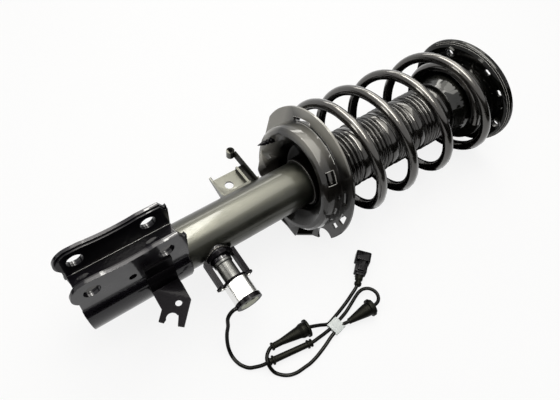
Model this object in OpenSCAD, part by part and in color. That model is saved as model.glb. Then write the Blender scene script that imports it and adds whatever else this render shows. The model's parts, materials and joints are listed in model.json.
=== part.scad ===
// Front suspension strut with coil spring, dust boot, top mount and an electrically
// controlled damping valve on the side of the tube. Lengths are in millimetres.
//
// +X runs along the strut from the knuckle bracket to the top mount, +Y along the
// knuckle bolts and +Z out of the open side of the knuckle bracket. The origin is the
// middle of the lower knuckle bolt. The strut lies on its side, on the skirt of the
// lower spring seat and on the rim of the top plate.

/* [Damper tube] */
// Outer radius of the strut tube
tube_r = 27.5; // [26.5:0.25:28.5]
// Wall of the strut tube
tube_wall = 2.5; // [2:0.25:3]
// Closed end of the tube, before the lower knuckle bolt
tube_tail = 10; // [6:1:14]
// Length of the strut tube
tube_len = 314; // [306:1:318]
// Radius of the piston rod
rod_r = 11; // [10:0.25:11.5]
// Running clearance of the rod and the piston, on the radius
run_gap = 0.06; // [0.02:0.01:0.1]
// Outer radius of the pressure tube
pressure_r = 18; // [17.5:0.25:18.5]
// Outer radius of the reservoir tube
reservoir_r = 22; // [21.5:0.25:22.5]
// Wall of the pressure tube and the reservoir tube
inner_wall = 1.5; // [1.25:0.25:1.75]
// Travel of the damper from full extension
travel = 120; // [90:5:125]

/* [Knuckle bracket] */
// Distance between the two knuckle bolts
bolt_spacing = 77; // [72:1:82]
// Radius of the knuckle bolt holes
bolt_hole_r = 8.5; // [7:0.25:9]
// Distance from the bolt line to the axis of the tube
bolt_offset = 50; // [47:0.5:53]
// Half the width over the outer faces of the ears
ear_half = 22; // [21.5:0.25:23]
// Sheet of the outer bracket
bracket_t = 3.6; // [3:0.2:4]
// Sheet of the reinforcing channel
channel_t = 2.6; // [2:0.2:3]
// Radius of the ear's lobe round a bolt hole
lobe_r = 18; // [15:0.5:19]
// Length of the bracket past the upper bolt
bracket_head = 23; // [20:1:26]

/* [Damping valve] */
// Distance from the lower bolt to the valve's axis, along the tube
valve_x = 130; // [126:1:142]
// Direction of the valve, in degrees below the bolt direction
valve_drop = 6; // [0:1:20]
// Radius of the valve body
valve_r = 9.8; // [9:0.2:10.5]
// Radius of the valve can
can_r = 14.4; // [13.5:0.1:14.4]
// Length of the valve can
can_len = 23; // [18:1:25]
// Distance of the guard's legs from the valve's axis
leg_reach = 16.5; // [16.5:0.1:18]

/* [Lower spring seat] */
// Distance from the lower bolt to the seat's flange, along the tube
seat_x = 272.5; // [268:0.5:276]
// Radius of the flange
flange_r = 84; // [80:0.5:88]
// Tilt of the flange in degrees
flange_tilt = 8.3; // [6:0.1:10]
// Sheet of the seat
seat_t = 2.8; // [2.4:0.2:3.2]
// Radius of the pocket that holds the end coil
cup_r = 66.5; // [65:0.25:67.5]
// Depth of the pocket under the flange
cup_depth = 22.5; // [21:0.5:24]
// Height of the strut's axis over the surface that it lies on
rest_h = 70; // [69:0.25:71]

/* [Coil spring] */
// Mean radius of the open coils
coil_r = 70.25; // [69.5:0.25:71]
// Mean radius of the drawn in upper end coil
end_coil_r = 51; // [50:0.5:52]
// Radius of the wire
wire_r = 6.3; // [5.8:0.1:6.5]

/* [Dust boot] */
// Outer radius of the folds
boot_r = 37.5; // [36:0.5:39]
// Depth of a fold
fold_depth = 3; // [2:0.25:4]
// Folds in each group
folds = 5; // [4:1:6]

/* [Top mount] */
// Distance from the lower bolt to the near face of the top plate
mount_x = 536; // [532:1:540]
// Tilt of the top plate away from the rod, upwards in degrees
plate_tilt_up = 5.8; // [5:0.1:6.5]
// Tilt of the top plate away from the rod, sideways in degrees
plate_tilt_side = 6.5; // [5.5:0.1:7]
// Radius of the top plate
plate_r = 76.2; // [74:0.1:77]
// Sheet of the top plate
plate_t = 3; // [2.5:0.25:3.5]
// Height of the rolled rim
rim_h = 10.5; // [8:0.5:12]
// Radius of the circle of the three weld nuts
nut_circle_r = 64.5; // [64.25:0.25:65]
// Radius of the bolt holes in the top plate
nut_hole_r = 5; // [4:0.25:5.5]
// Radius of the bearing's ball circle
ball_circle_r = 45.5; // [44.5:0.5:46]
// Radius of a ball
ball_r = 2.5; // [2:0.25:2.75]
// Balls in the bearing
ball_count = 24; // [16:1:28]

/* [Brackets for lines] */
// Distance from the lower bolt to the hose plate's near edge, along the tube
hose_x = 176; // [170:1:180]
// Radius of the hole in the hose plate
hose_hole_r = 5.25; // [4:0.25:6]
// Sheet of both line brackets
line_t = 2.5; // [2:0.25:3]
// Radius of the round hole in the sensor bracket
sensor_hole_r = 3.6; // [3:0.2:4.5]
// Half the width of the slot between the prongs
fork_half = 6; // [4:0.5:7]

/* [Cable] */
// Radius of the cable
cable_r = 2.1; // [2:0.1:2.3]

/* [Hidden] */

FINE = 72;
MEDIUM = 48;
SMALL = 32;
// Overlap that joins the shapes of one piece, and the way a cutter runs past a face
LAP = 0.4;
PAST = 1;
// Gap between pieces that lie on each other but belong to different bodies
SEAT_GAP = 0.3;

BLACK = [0.05, 0.05, 0.055];
DARK = [0.1, 0.1, 0.11];
STEEL = [0.62, 0.63, 0.65];
RUBBER = [0.035, 0.035, 0.035];
WHITE = [0.9, 0.91, 0.9];

// ---- places along the tube, measured from the lower bolt ----
tube_start = -tube_tail;
tube_end = tube_start + tube_len;
tube_bore = tube_r - tube_wall;
CRIMP = 2.2;
SEAL_T = 5;
GUIDE_T = 14;
GUIDE_SPIGOT = 10;
seal_top = tube_end - CRIMP;
guide_top = seal_top - SEAL_T;
guide_base = guide_top - GUIDE_T;
VALVE_DISC_T = 8;
CAP_T = 3.5;
CAP_SPIGOT = 4;
base_valve_start = tube_start + CAP_SPIGOT;
inner_start = base_valve_start + VALVE_DISC_T;
bracket_end = bolt_spacing + bracket_head;
SLIP = 0.1;

// Local axes of everything on the strut: z along the tube, x along the bolts and y out of
// the bracket's open side.
module on_strut() {
  translate([0, 0, -bolt_offset])
    rotate([90, 0, 90])
      children();
}

// A ring or a disc between two places along the tube
module ring(from, to, outer, inner = 0, sides = FINE) {
  translate([0, 0, from])
    difference() {
      cylinder(h = to - from, r = outer, $fn = sides);
      if (inner > 0)
        translate([0, 0, -PAST])
          cylinder(h = to - from + 2 * PAST, r = inner, $fn = sides);
    }
}

// ---- damper ----
port_r = 6;

module strut_tube() {
  color(BLACK)
    on_strut()
      difference() {
        rotate_extrude($fn = FINE)
          polygon([
            [tube_bore, tube_start],
            [tube_r, tube_start],
            [tube_r, tube_end - CRIMP],
            [tube_r - CRIMP, tube_end],
            [tube_bore - CRIMP * 2, tube_end],
            [tube_bore - CRIMP * 2, seal_top],
            [tube_bore, seal_top]
          ]);
        at_valve()
          cylinder(h = tube_r + PAST, r = port_r, $fn = MEDIUM);
      }
}

module base_cap() {
  color(BLACK)
    on_strut()
      rotate_extrude($fn = FINE)
        polygon([
          [0, tube_start - CAP_T],
          [tube_r - CAP_T, tube_start - CAP_T],
          [tube_r, tube_start],
          [tube_bore - SLIP, tube_start],
          [tube_bore - SLIP, tube_start + CAP_SPIGOT],
          [0, tube_start + CAP_SPIGOT]
        ]);
}

module base_valve() {
  color(STEEL)
    on_strut()
      rotate_extrude($fn = FINE)
        polygon([
          [0, base_valve_start],
          [tube_bore - SLIP, base_valve_start],
          [tube_bore - SLIP, inner_start],
          [pressure_r - inner_wall - SLIP, inner_start],
          [pressure_r - inner_wall - SLIP, inner_start + GUIDE_SPIGOT],
          [0, inner_start + GUIDE_SPIGOT]
        ]);
}

module reservoir_tube() {
  color(STEEL)
    on_strut()
      difference() {
        ring(inner_start, guide_base, reservoir_r, reservoir_r - inner_wall);
        at_valve()
          cylinder(h = tube_r, r = port_r, $fn = MEDIUM);
      }
}

module pressure_tube() {
  color(STEEL)
    on_strut()
      ring(inner_start, guide_base, pressure_r, pressure_r - inner_wall);
}

module rod_guide() {
  color(STEEL)
    on_strut()
      rotate_extrude($fn = FINE)
        polygon([
          [rod_r + run_gap, guide_base - GUIDE_SPIGOT],
          [pressure_r - inner_wall - SLIP, guide_base - GUIDE_SPIGOT],
          [pressure_r - inner_wall - SLIP, guide_base],
          [tube_bore - SLIP, guide_base],
          [tube_bore - SLIP, guide_top],
          [rod_r + run_gap, guide_top]
        ]);
}

module rod_seal() {
  color(RUBBER)
    on_strut()
      ring(guide_top, seal_top, tube_bore - SLIP, rod_r + SEAT_GAP);
}

// ---- knuckle bracket ----
BRACKET_FIT = 0.15;
EAR_FOOT_LAP = 0.3;
wrap_in = tube_r + BRACKET_FIT;
wrap_out = wrap_in + bracket_t;
// The wrap follows the tube up to the angle where it reaches the ears' outer faces
wrap_angle = acos(ear_half / wrap_out);
ear_foot = sqrt(pow(tube_r, 2) - pow(ear_half - bracket_t, 2)) + EAR_FOOT_LAP;
wrap_start = -16;
waist_dip = 2.5;
CORNER_CUT = 10;
// How far the lower lobe reaches past a full circle round its hole
LOBE_OUT = 2.5;
// Slant of the wrap's lower end
END_SLANT = 5.5;

// Outline of an ear as [along the tube, height over the axis]: a lobe round each bolt,
// a shallow waist between the lobes and a cut corner at the upper end
module ear_outline(foot, top_drop = 0) {
  waist_h = bolt_offset + lobe_r;
  waist_r = pow(bolt_spacing / 2, 2) / (2 * waist_dip) * 0.6;
  difference() {
    union() {
      for (x = [-LOBE_OUT, bolt_spacing])
        translate([x, bolt_offset])
          circle(r = lobe_r - top_drop, $fn = MEDIUM);
      translate([-LOBE_OUT, foot])
        square([bracket_end + LOBE_OUT, waist_h - top_drop - foot]);
      translate([-lobe_r + top_drop + waist_dip, foot])
        square([lobe_r + PAST, bolt_offset - foot - lobe_r * 0.35]);
      translate([0, foot])
        square([bracket_end, waist_h / 2]);
    }
    translate([bolt_spacing / 2, waist_h - waist_dip - top_drop + waist_r])
      circle(r = waist_r, $fn = FINE * 2);
    translate([bracket_end, waist_h - top_drop])
      rotate(30)
        square(CORNER_CUT * 1.4, center = true);
    for (x = [0, bolt_spacing])
      translate([x, bolt_offset])
        circle(r = bolt_hole_r, $fn = FINE);
  }
}

module knuckle_bracket() {
  tool_hole_x = 39;
  tool_hole_h = 36;
  tool_hole_r = 4;
  color(BLACK)
    on_strut()
      difference() {
        union() {
          // the wrap round the tube
          translate([0, 0, wrap_start])
            rotate([0, 0, 180 - wrap_angle])
              rotate_extrude(angle = 180 + 2 * wrap_angle, $fn = FINE)
                translate([wrap_in, 0])
                  square([bracket_t, bracket_end - wrap_start - 2]);
          for (side = [-1, 1])
            ear_plate(side, ear_half - bracket_t, bracket_t)
              ear_outline(ear_foot);
        }
        rotate([0, 90, 0])
          translate([-tool_hole_x, tool_hole_h, 0])
            cylinder(h = 3 * ear_half, r = tool_hole_r, center = true, $fn = MEDIUM);
        // the lower end of the wrap is cut back towards its back
        translate([-2 * ear_half, ear_foot + 0.7, wrap_start - 0.3])
          rotate([-END_SLANT, 0, 0])
            translate([0, -100, -20])
              cube([4 * ear_half, 100, 20]);
      }
}

// An upright plate whose near face is inner_x from the middle, on side -1 or 1
module ear_plate(side, inner_x, thickness) {
  shift = side > 0 ? inner_x : -inner_x - thickness;
  translate([shift, 0, 0])
    multmatrix([[0, 0, 1, 0], [0, 1, 0, 0], [1, 0, 0, 0], [0, 0, 0, 1]])
      linear_extrude(thickness)
        children();
}

CHANNEL_LIFT = 0.5;
CHANNEL_GAP = 0.05;

module bracket_channel() {
  floor_h = tube_r + CHANNEL_LIFT;
  wall_in = ear_half - bracket_t - CHANNEL_GAP - channel_t;
  color(BLACK)
    on_strut() {
      for (side = [-1, 1])
        ear_plate(side, wall_in, channel_t)
          ear_outline(floor_h, 2);
      translate([-wall_in - LAP, floor_h, -lobe_r + 2 + waist_dip])
        cube([2 * (wall_in + LAP), channel_t, bracket_end + lobe_r - 2 - waist_dip]);
    }
}

// ---- brackets for the brake hose and the sensor lead ----
module hose_bracket() {
  plate_w = 31;
  plate_reach = 56;
  step_x = plate_w + 2;
  step_w = 10;
  step_h = 9;
  arm_h = 10;
  arm_reach = 70;
  eye_r = 5;
  eye_hole_r = 2.6;
  foot_lo = -38;
  foot_hi = 24;
  color(BLACK)
    on_strut()
      difference() {
        translate([0, 0, hose_x]) {
          // the foot lies on the tube
          rotate([0, 0, foot_lo])
            rotate_extrude(angle = foot_hi - foot_lo, $fn = FINE)
              translate([tube_r + SLIP, -4])
                square([line_t, step_x + step_w + 6]);
          // the hose plate
          difference() {
            translate([tube_r + line_t / 2, 0, 0])
              cube([plate_reach - tube_r - line_t / 2, line_t, plate_w]);
            translate([40.6, -PAST, 13])
              rotate([-90, 0, 0])
                cylinder(h = line_t + 2 * PAST, r = hose_hole_r, $fn = MEDIUM);
          }
          // the gusset beside the plate
          translate([tube_r, 0, -line_t])
            linear_extrude(line_t)
              polygon([[0, -8], [plate_reach - tube_r + 4, 2], [plate_reach - tube_r + 4, line_t + 3], [0, line_t + 1]]);
          // the step up to the arm
          translate([tube_r + line_t / 2, 0, plate_w - LAP])
            cube([plate_reach - tube_r - line_t, step_h, line_t]);
          translate([tube_r - line_t, step_h - line_t, plate_w])
            cube([plate_reach - tube_r, line_t, step_w]);
          // the arm and its rolled eye
          translate([tube_r - 2 * line_t, step_h - line_t, plate_w + step_w - line_t])
            cube([arm_reach - tube_r + 2 * line_t, arm_h, line_t]);
          translate([arm_reach + eye_r - 1, step_h - line_t, plate_w + step_w - eye_r])
            rotate([-90, 0, 0])
              ring(0, arm_h, eye_r, eye_hole_r, MEDIUM);
        }
        cylinder(h = 2 * hose_x, r = tube_r + SLIP, $fn = FINE);
      }
}

module sensor_bracket() {
  strap_x = 50;
  strap_w = 30;
  strap_top = 38;
  bend_y = 22;
  plate_h = 4;
  prong_turn = 42;
  slot_at = [54, 68];
  hole_at = [66.3, 57.1];
  strap_in = wrap_out + SLIP;
  color(BLACK)
    on_strut()
      difference() {
        union() {
          // the strap lies on the near ear and follows the wrap below it
          translate([0, 0, strap_x])
            linear_extrude(strap_w)
              difference() {
                union() {
                  intersection() {
                    circle(r = strap_in + line_t, $fn = FINE);
                    translate([-2 * strap_in, plate_h + line_t / 2])
                      square([2 * strap_in, bend_y - plate_h - line_t / 2]);
                  }
                  translate([-ear_half - SLIP - line_t, bend_y - 2])
                    square([line_t, strap_top - bend_y + 2]);
                }
                translate([-ear_half - SLIP, bend_y - 2])
                  square(strap_top);
              }
          // the forked plate stands out level
          translate([0, plate_h, 0])
            multmatrix([[0, -1, 0, 0], [0, 0, 1, 0], [1, 0, 0, 0], [0, 0, 0, 1]])
              linear_extrude(line_t)
                difference() {
                  polygon([
                    [strap_x, strap_in - 1],
                    [49, 54],
                    [40.3, 63.3],
                    [43.7, 67.2],
                    [54, 62],
                    [60, 68],
                    [53.7, 77.6],
                    [58.4, 81.9],
                    [78.6, 60.6],
                    [strap_x + strap_w, 41],
                    [strap_x + strap_w, strap_in - 1]
                  ]);
                  translate(slot_at)
                    rotate(prong_turn)
                      translate([-fork_half * 0.2, 0])
                        circle(r = fork_half, $fn = MEDIUM);
                  translate(hole_at)
                    circle(r = sensor_hole_r, $fn = MEDIUM);
                }
        }
        cylinder(h = 2 * bracket_end, r = strap_in, $fn = FINE);
      }
}

// ---- damping valve, on its own axis z out of the tube ----
BOSS_TOP = 38;
BODY_SHOULDER = 4;
FLANGE_T = 2;
CAP_H = 5;
flange_s = BOSS_TOP + 24;
can_s = flange_s + FLANGE_T;
cap_s = can_s + can_len;
boss_r = 12.5;

module at_valve() {
  translate([0, 0, valve_x])
    rotate([0, 0, 180 + valve_drop])
      rotate([0, 90, 0])
        children();
}

module valve_boss() {
  color(BLACK)
    on_strut()
      difference() {
        at_valve()
          difference() {
            union() {
              translate([0, 0, tube_r * 0.7])
                cylinder(h = BOSS_TOP - tube_r * 0.7 - 8, r1 = boss_r + 4, r2 = boss_r, $fn = FINE);
              cylinder(h = BOSS_TOP, r = boss_r - 1, $fn = FINE);
            }
            cylinder(h = BOSS_TOP + PAST, r = port_r, $fn = MEDIUM);
          }
        translate([0, 0, valve_x - 30])
          cylinder(h = 60, r = tube_r + SLIP, $fn = FINE);
      }
}

module valve_body() {
  color(STEEL)
    on_strut()
      at_valve()
        rotate_extrude($fn = FINE)
          polygon([
            [0, BOSS_TOP - 8],
            [port_r - SLIP, BOSS_TOP - 8],
            [port_r - SLIP, BOSS_TOP],
            [valve_r + 1.2, BOSS_TOP],
            [valve_r + 1.2, BOSS_TOP + BODY_SHOULDER - 1],
            [valve_r, BOSS_TOP + BODY_SHOULDER],
            [valve_r, flange_s],
            [0, flange_s]
          ]);
}

module valve_guard() {
  leg_w = 12;
  leg_t = 5;
  base_s = BOSS_TOP - 8;
  color(BLACK)
    on_strut()
      at_valve()
        difference() {
          union() {
            // the collar on the boss
            ring(base_s, base_s + 4, leg_reach, boss_r + SLIP);
            for (side = [-1, 1])
              translate([side * leg_reach - leg_t / 2, -leg_w / 2, base_s])
                cube([leg_t, leg_w, flange_s - base_s]);
          }
          for (side = [-1, 1])
            translate([side * leg_reach, 0, flange_s - 10])
              cylinder(h = 10 + PAST, r = 1.3, $fn = SMALL);
        }
}

module valve_flange() {
  color(BLACK)
    on_strut()
      at_valve()
        translate([0, 0, flange_s])
          linear_extrude(FLANGE_T)
            difference() {
              union() {
                circle(r = can_r, $fn = FINE);
                square([2 * leg_reach, 11], center = true);
                for (side = [-1, 1])
                  translate([side * leg_reach, 0])
                    circle(r = 5.5, $fn = MEDIUM);
              }
              for (side = [-1, 1])
                translate([side * leg_reach, 0])
                  circle(r = 1.4, $fn = SMALL);
            }
}

module guard_screws() {
  color(STEEL)
    on_strut()
      at_valve()
        for (side = [-1, 1])
          translate([side * leg_reach, 0, 0]) {
            ring(flange_s - 9, can_s, 1.2, 0, SMALL);
            ring(can_s, can_s + 1.8, 1.9, 0, SMALL);
          }
}

module valve_can() {
  color(WHITE)
    on_strut()
      at_valve()
        rotate_extrude($fn = FINE)
          polygon([
            [0, can_s],
            [can_r - 1, can_s],
            [can_r, can_s + 1],
            [can_r, cap_s],
            [0, cap_s]
          ]);
}

cap_r = can_r + 0.8;
disc_r = can_r - 3.5;
GLAND_R = 2.45;
GLAND_OUT = 1.2;

module valve_cap() {
  color(DARK)
    on_strut()
      at_valve()
        difference() {
          union() {
            ring(cap_s, cap_s + CAP_H, cap_r, disc_r + SLIP);
            translate([disc_r + 1, 0, cap_s + CAP_H / 2])
              rotate([0, 90, 0])
                cylinder(h = cap_r - disc_r + GLAND_OUT - 1, r1 = GLAND_R, r2 = GLAND_R - 0.15, $fn = MEDIUM);
          }
          translate([0, 0, cap_s - PAST])
            cylinder(h = CAP_H + 2 * PAST, r = disc_r + SLIP, $fn = FINE);
        }
}

module valve_end_disc() {
  color(STEEL)
    on_strut()
      at_valve()
        rotate_extrude($fn = FINE)
          polygon([
            [0, cap_s],
            [disc_r, cap_s],
            [disc_r, cap_s + CAP_H],
            [disc_r - 2, cap_s + CAP_H + 0.6],
            [0, cap_s + CAP_H + 0.6]
          ]);
}

// ---- lower spring seat ----
cup_floor = seat_x - cup_depth;
hub_in = tube_r + BRACKET_FIT;
FLANGE_SHIFT = [5.8, 2.7];
LAND_IN = cup_r - 23.5;
HUB_LEN = 22;
PAD_T = 2;

// The tilted flange's frame: z square to the flange, from the middle of its rear face
module on_flange() {
  translate([0, 0, seat_x])
    rotate([flange_tilt, 0, 0])
      translate([FLANGE_SHIFT[0], FLANGE_SHIFT[1], 0])
        children();
}

// A slot along an arc, between two angles and two radii
module slot_arc(from, to, inner, outer) {
  difference() {
    intersection() {
      circle(r = outer, $fn = FINE);
      rotate(from)
        polygon([
          [0, 0],
          [2 * outer, 0],
          [2 * outer * cos(to - from), 2 * outer * sin(to - from)]
        ]);
    }
    circle(r = inner, $fn = FINE);
  }
}

module flange_outline() {
  difference() {
    circle(r = flange_r, $fn = 2 * FINE);
    circle(r = cup_r - seat_t, $fn = FINE);
    // straight cuts on the far side and below, where the flange ends on the skirt
    translate([80, -flange_r])
      square(2 * flange_r);
    translate([-flange_r, -rest_h - 2 * flange_r - FLANGE_SHIFT[1]])
      square(2 * flange_r);
    // scallops beside the near and the far lower corner
    for (side = [-1, 1])
      translate([side * 63, -54])
        circle(r = 13, $fn = MEDIUM);
    // the long slot at the top, the two holes and the small slot on the near side
    slot_arc(54, 78, 67.5, 72);
    slot_arc(176, 188, 71, 78.5);
    slot_arc(194, 201, 69, 75);
    slot_arc(150, 165, 70, 75.5);
  }
}

// Section of the pocket as [radius, along]: down its outer wall and up the inner cone
pocket_outer = [
  [cup_r, 0],
  [cup_r - 0.5, -12],
  [cup_r - 2, 3.5 - cup_depth],
  [cup_r - 5, 0.5 - cup_depth],
  [cup_r - 9.5, -cup_depth],
  [LAND_IN, 9.5 - cup_depth],
  [LAND_IN - 2.5, 12.5 - cup_depth],
  [LAND_IN - 4, 18.5 - cup_depth],
  [LAND_IN - 6, 4],
  [24, 10]
];
pocket_inner = [
  [24, 13.2],
  [LAND_IN - 4.5, 7],
  [LAND_IN - 1.2, -3.5],
  [LAND_IN, 14 - cup_depth],
  [LAND_IN + 2, 12 - cup_depth],
  [cup_r - 9, 3.3 - cup_depth],
  [cup_r - 6, 3.5 - cup_depth],
  [cup_r - 4.7, 5 - cup_depth],
  [cup_r - seat_t - 0.5, -11.5],
  [cup_r - seat_t, 0]
];

// The room in the pocket, a skin's width inside its walls
SKIN = 0.05;

module pocket_hollow() {
  room = [for (p = pocket_inner) [p[0] + (p[0] < LAND_IN + 1 ? SKIN : -SKIN), p[1] + SKIN]];
  rotate_extrude($fn = FINE)
    polygon(concat([[0, 30], [0, 13.2 + SKIN]], room, [[cup_r - seat_t - SKIN, 30]]));
}

module lower_spring_seat() {
  t = seat_t;
  apron_x = seat_x - 28;
  apron_half = 27;
  color(BLACK)
    on_strut()
      difference() {
        union() {
          on_flange() {
            linear_extrude(t)
              flange_outline();
            rotate_extrude($fn = FINE)
              polygon(concat(pocket_outer, pocket_inner));
          }
          // the gusset between the tube and the pocket, with its window
          translate([0, t / 2, seat_x])
            rotate([90, 0, 0])
              linear_extrude(t)
                difference() {
                  polygon([
                    [27, -43],
                    [36, -43],
                    [43, -41],
                    [cup_r - 2, -22],
                    [cup_r - 1, -15.5],
                    [cup_r - 4.5, -10],
                    [44, -10],
                    [27, -22]
                  ]);
                  translate([48, -23])
                    square([13, 5.5]);
                }
          // the collar on the tube
          ring(seat_x - 8, seat_x - 8 + HUB_LEN, hub_in + t, hub_in - LAP);
          // the skirt turns in under the pocket and is what the strut lies on
          translate([0, t - rest_h, 0])
            rotate([90, 0, 0])
              linear_extrude(t)
                polygon([
                  [-apron_half, apron_x + 2],
                  [0, apron_x - 1],
                  [apron_half, apron_x + 2],
                  [apron_half + 6, apron_x + 11],
                  [apron_half + 12, apron_x + 20],
                  [apron_half + 12, apron_x + 22],
                  [-apron_half - 12, apron_x + 22],
                  [-apron_half - 12, apron_x + 20],
                  [-apron_half - 6, apron_x + 11]
                ]);
          intersection() {
            ear_plate(1, -apron_half, 2 * apron_half)
              polygon([
                [apron_x, -rest_h],
                [apron_x + t, -rest_h],
                [apron_x + 5 + t, -rest_h + 22],
                [apron_x + 5, -rest_h + 22]
              ]);
            translate([0, 0, apron_x - 5])
              cylinder(h = 30, r = rest_h + 6, $fn = FINE);
          }
        }
        on_flange() {
          pocket_hollow();
          pin_hole(PIN_COLLAR_R + SLIP);
          // the square window in the pocket's near wall
          rotate([0, 0, 135])
            translate([cup_r, 0, -11.2])
              cube([9, 16, 11], center = true);
        }
        cylinder(h = 2 * seat_x, r = hub_in, $fn = FINE);
        // nothing of the skirt reaches below the surface that the strut lies on
        translate([-flange_r * 2, -rest_h - flange_r, 0])
          cube([flange_r * 4, flange_r, seat_x * 2]);
      }
}

module lower_spring_pad() {
  lift = 0.05;
  color(RUBBER)
    on_strut()
      on_flange()
        difference() {
          rotate_extrude($fn = FINE)
            polygon([
              [LAND_IN + 2, 12 - cup_depth + lift],
              [cup_r - 9, 3.3 - cup_depth + lift],
              [cup_r - 6, 3.5 - cup_depth + lift],
              [cup_r - 6, 3.5 - cup_depth + PAD_T * 1.2],
              [cup_r - 9, 3.3 - cup_depth + PAD_T * 1.22],
              [LAND_IN + 2, 12 - cup_depth + PAD_T * 1.22]
            ]);
          pin_hole(PIN_R + SLIP);
        }
}

PIN_R = 1.6;
PIN_COLLAR_R = 3.4;

module at_pin() {
  rotate([0, 0, 27])
    translate([cup_r - 14, 0, -cup_depth + 5.8])
      children();
}

module pin_hole(r) {
  at_pin()
    cylinder(h = 40, r = r, center = true, $fn = SMALL);
}

module pad_push_pin() {
  shank = 24;
  color(RUBBER)
    on_strut()
      on_flange()
        at_pin()
          rotate([180, 0, 0])
            rotate_extrude($fn = SMALL)
              polygon([
                [0, -3],
                [PIN_R, -3],
                [PIN_R, 1.5],
                [PIN_COLLAR_R, 3],
                [PIN_COLLAR_R, 5.5],
                [2.2, 6.5],
                [2.2, 8],
                [3.2, 10],
                [2.2, 12],
                [3, 14],
                [0.4, shank],
                [0, shank]
              ]);
}

// ---- coil spring ----
// Turns are counted from the first open coil on the far side. The ends are drawn in.
first_turn = -1.85;
last_turn = 4.45;
free_turn = -1.4;
START_ANGLE = 9;
PITCH = 41.5;
PITCH_GROWTH = 4.6;
PITCH_START = 36;
LOWER_COIL_R = cup_r - 11;
TAPER = 1;
CENTRE = [2.8, 7.9];
CENTRE_DRIFT = -1.1;
lower_rest = wire_r + 10.1 - cup_depth;
SEAT_SHEET = 2.5;
upper_seat_z = mount_x - 14;
upper_seat_r = 54.5;
UPPER_PAD_T = 2.5;
upper_rest = upper_seat_z - UPPER_PAD_T - SEAT_GAP - wire_r;

function smooth(t) = let (u = min(1, max(0, t))) u * u * (3 - 2 * u);
function mix(a, b, t) = a + (b - a) * t;
function open_coil(n) = seat_x + PITCH_START + PITCH * n + PITCH_GROWTH * n * n;
function open_radius(n) = coil_r + 2 - TAPER * max(n, 0);
function coil_radius(n) = n < 0
  ? mix(LOWER_COIL_R, open_radius(0), smooth((n + 0.8) / 0.85))
  : mix(open_radius(n), end_coil_r, smooth((n - 3.76) / 0.4));
function coil_centre(n) = n < 0
  ? mix(FLANGE_SHIFT + [0, 1], CENTRE, smooth((n + 1.2) / 1.2))
  : mix(CENTRE + [CENTRE_DRIFT * n, 0], [0, 0], smooth((n - 3.7) / 0.4));
function coil_along(n, y) = n < 0
  ? seat_x + tan(flange_tilt) * y * (1 - smooth((n + 0.4) / 0.4))
    + mix(lower_rest, PITCH_START, pow(max(0, (n - free_turn) / -free_turn), 1.15))
  : mix(open_coil(min(n, 3.8)), upper_rest, smooth((n - 3.35) / 0.45));
function coil_point(n) = let (
    a = START_ANGLE + 360 * n,
    r = coil_radius(n),
    c = coil_centre(n),
    y = r * sin(a) + c[1]
  )
  [r * cos(a) + c[0], y, coil_along(n, y)];

RINGS_PER_TURN = 16;
COIL_SIDES = 6;
coil_rings = ceil((last_turn - first_turn) * RINGS_PER_TURN);
coil_path = [for (i = [0:coil_rings]) coil_point(first_turn + (last_turn - first_turn) * i / coil_rings)];

// Least gap of a tube to itself, between points at least skip apart along it
function path_gap(path, skip, radius) =
  min([for (i = [0:len(path) - 1]) for (j = [i + skip:1:len(path) - 1]) norm(path[i] - path[j])]) - 2 * radius;

echo(least_gap_of_coil_spring = path_gap(coil_path, RINGS_PER_TURN / 2, wire_r));

// Tube swept along points: each ring stands square to the path and keeps its turn
function unit(v) = v / max(norm(v), 0.000001);
function tangent(path, i) = unit(path[min(i + 1, len(path) - 1)] - path[max(i - 1, 0)]);
function frames(path, i, side, found) =
  i == len(path) ? found
    : let (t = tangent(path, i), n = unit(side - (side * t) * t))
      frames(path, i + 1, n, concat(found, [[n, cross(t, n)]]));
function tube_points(path, radius, sides) =
  let (f = frames(path, 0, [0, 0, 1], []))
    [for (i = [0:len(path) - 1]) for (k = [0:sides - 1])
      path[i] + radius * (cos(360 * k / sides) * f[i][0] + sin(360 * k / sides) * f[i][1])];
function tube_faces(rings, sides) = concat(
  [for (k = [1:sides - 2]) [0, k, k + 1]],
  [for (i = [0:rings - 2]) for (k = [0:sides - 1])
    [i * sides + k, (i + 1) * sides + k, (i + 1) * sides + (k + 1) % sides]],
  [for (i = [0:rings - 2]) for (k = [0:sides - 1])
    [i * sides + k, (i + 1) * sides + (k + 1) % sides, i * sides + (k + 1) % sides]],
  [for (k = [1:sides - 2]) [(rings - 1) * sides, (rings - 1) * sides + k + 1, (rings - 1) * sides + k]]
);

module tube_along(path, radius, sides) {
  polyhedron(points = tube_points(path, radius, sides), faces = tube_faces(len(path), sides));
}

module coil_spring() {
  color(BLACK)
    on_strut()
      tube_along(coil_path, wire_r, COIL_SIDES);
}

// ---- upper spring seat, boot and bearing ----
BOOT_WALL = 1.8;
CUP_LEN = 36;
boot_top = upper_seat_z - 30;
boot_start = seat_x + 25;
boot_cuff_r = tube_r + SEAT_GAP + BOOT_WALL;

module upper_spring_seat() {
  t = SEAT_SHEET;
  z = upper_seat_z;
  color(BLACK)
    on_strut()
      rotate_extrude($fn = FINE)
        polygon([
          [boot_r - t, z - CUP_LEN],
          [boot_r, z - CUP_LEN],
          [boot_r + 0.5, z - 29],
          [boot_r + 4.5, z - 14],
          [boot_r + 5, z],
          [upper_seat_r, z],
          [upper_seat_r, z + t],
          [boot_r + 5 - t, z + t],
          [boot_r + 4.5 - t, z - 13],
          [boot_r + 0.5 - t, z - 28],
          [boot_r - t, z - 29]
        ]);
}

module upper_spring_pad() {
  color(RUBBER)
    on_strut()
      ring(upper_seat_z - UPPER_PAD_T, upper_seat_z, upper_seat_r - 0.5, boot_r + 5 + SLIP);
}

// Outline of the boot from its cuff to its top: groups of folds with a smooth stretch
// after each
function fold_group(start, len, count, wall) = [
  for (i = [0:count - 1]) for (p = [[0, -fold_depth], [0.5, 0]])
    [boot_r + p[1] - wall, start + len * (i + p[0]) / count]
];

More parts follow.
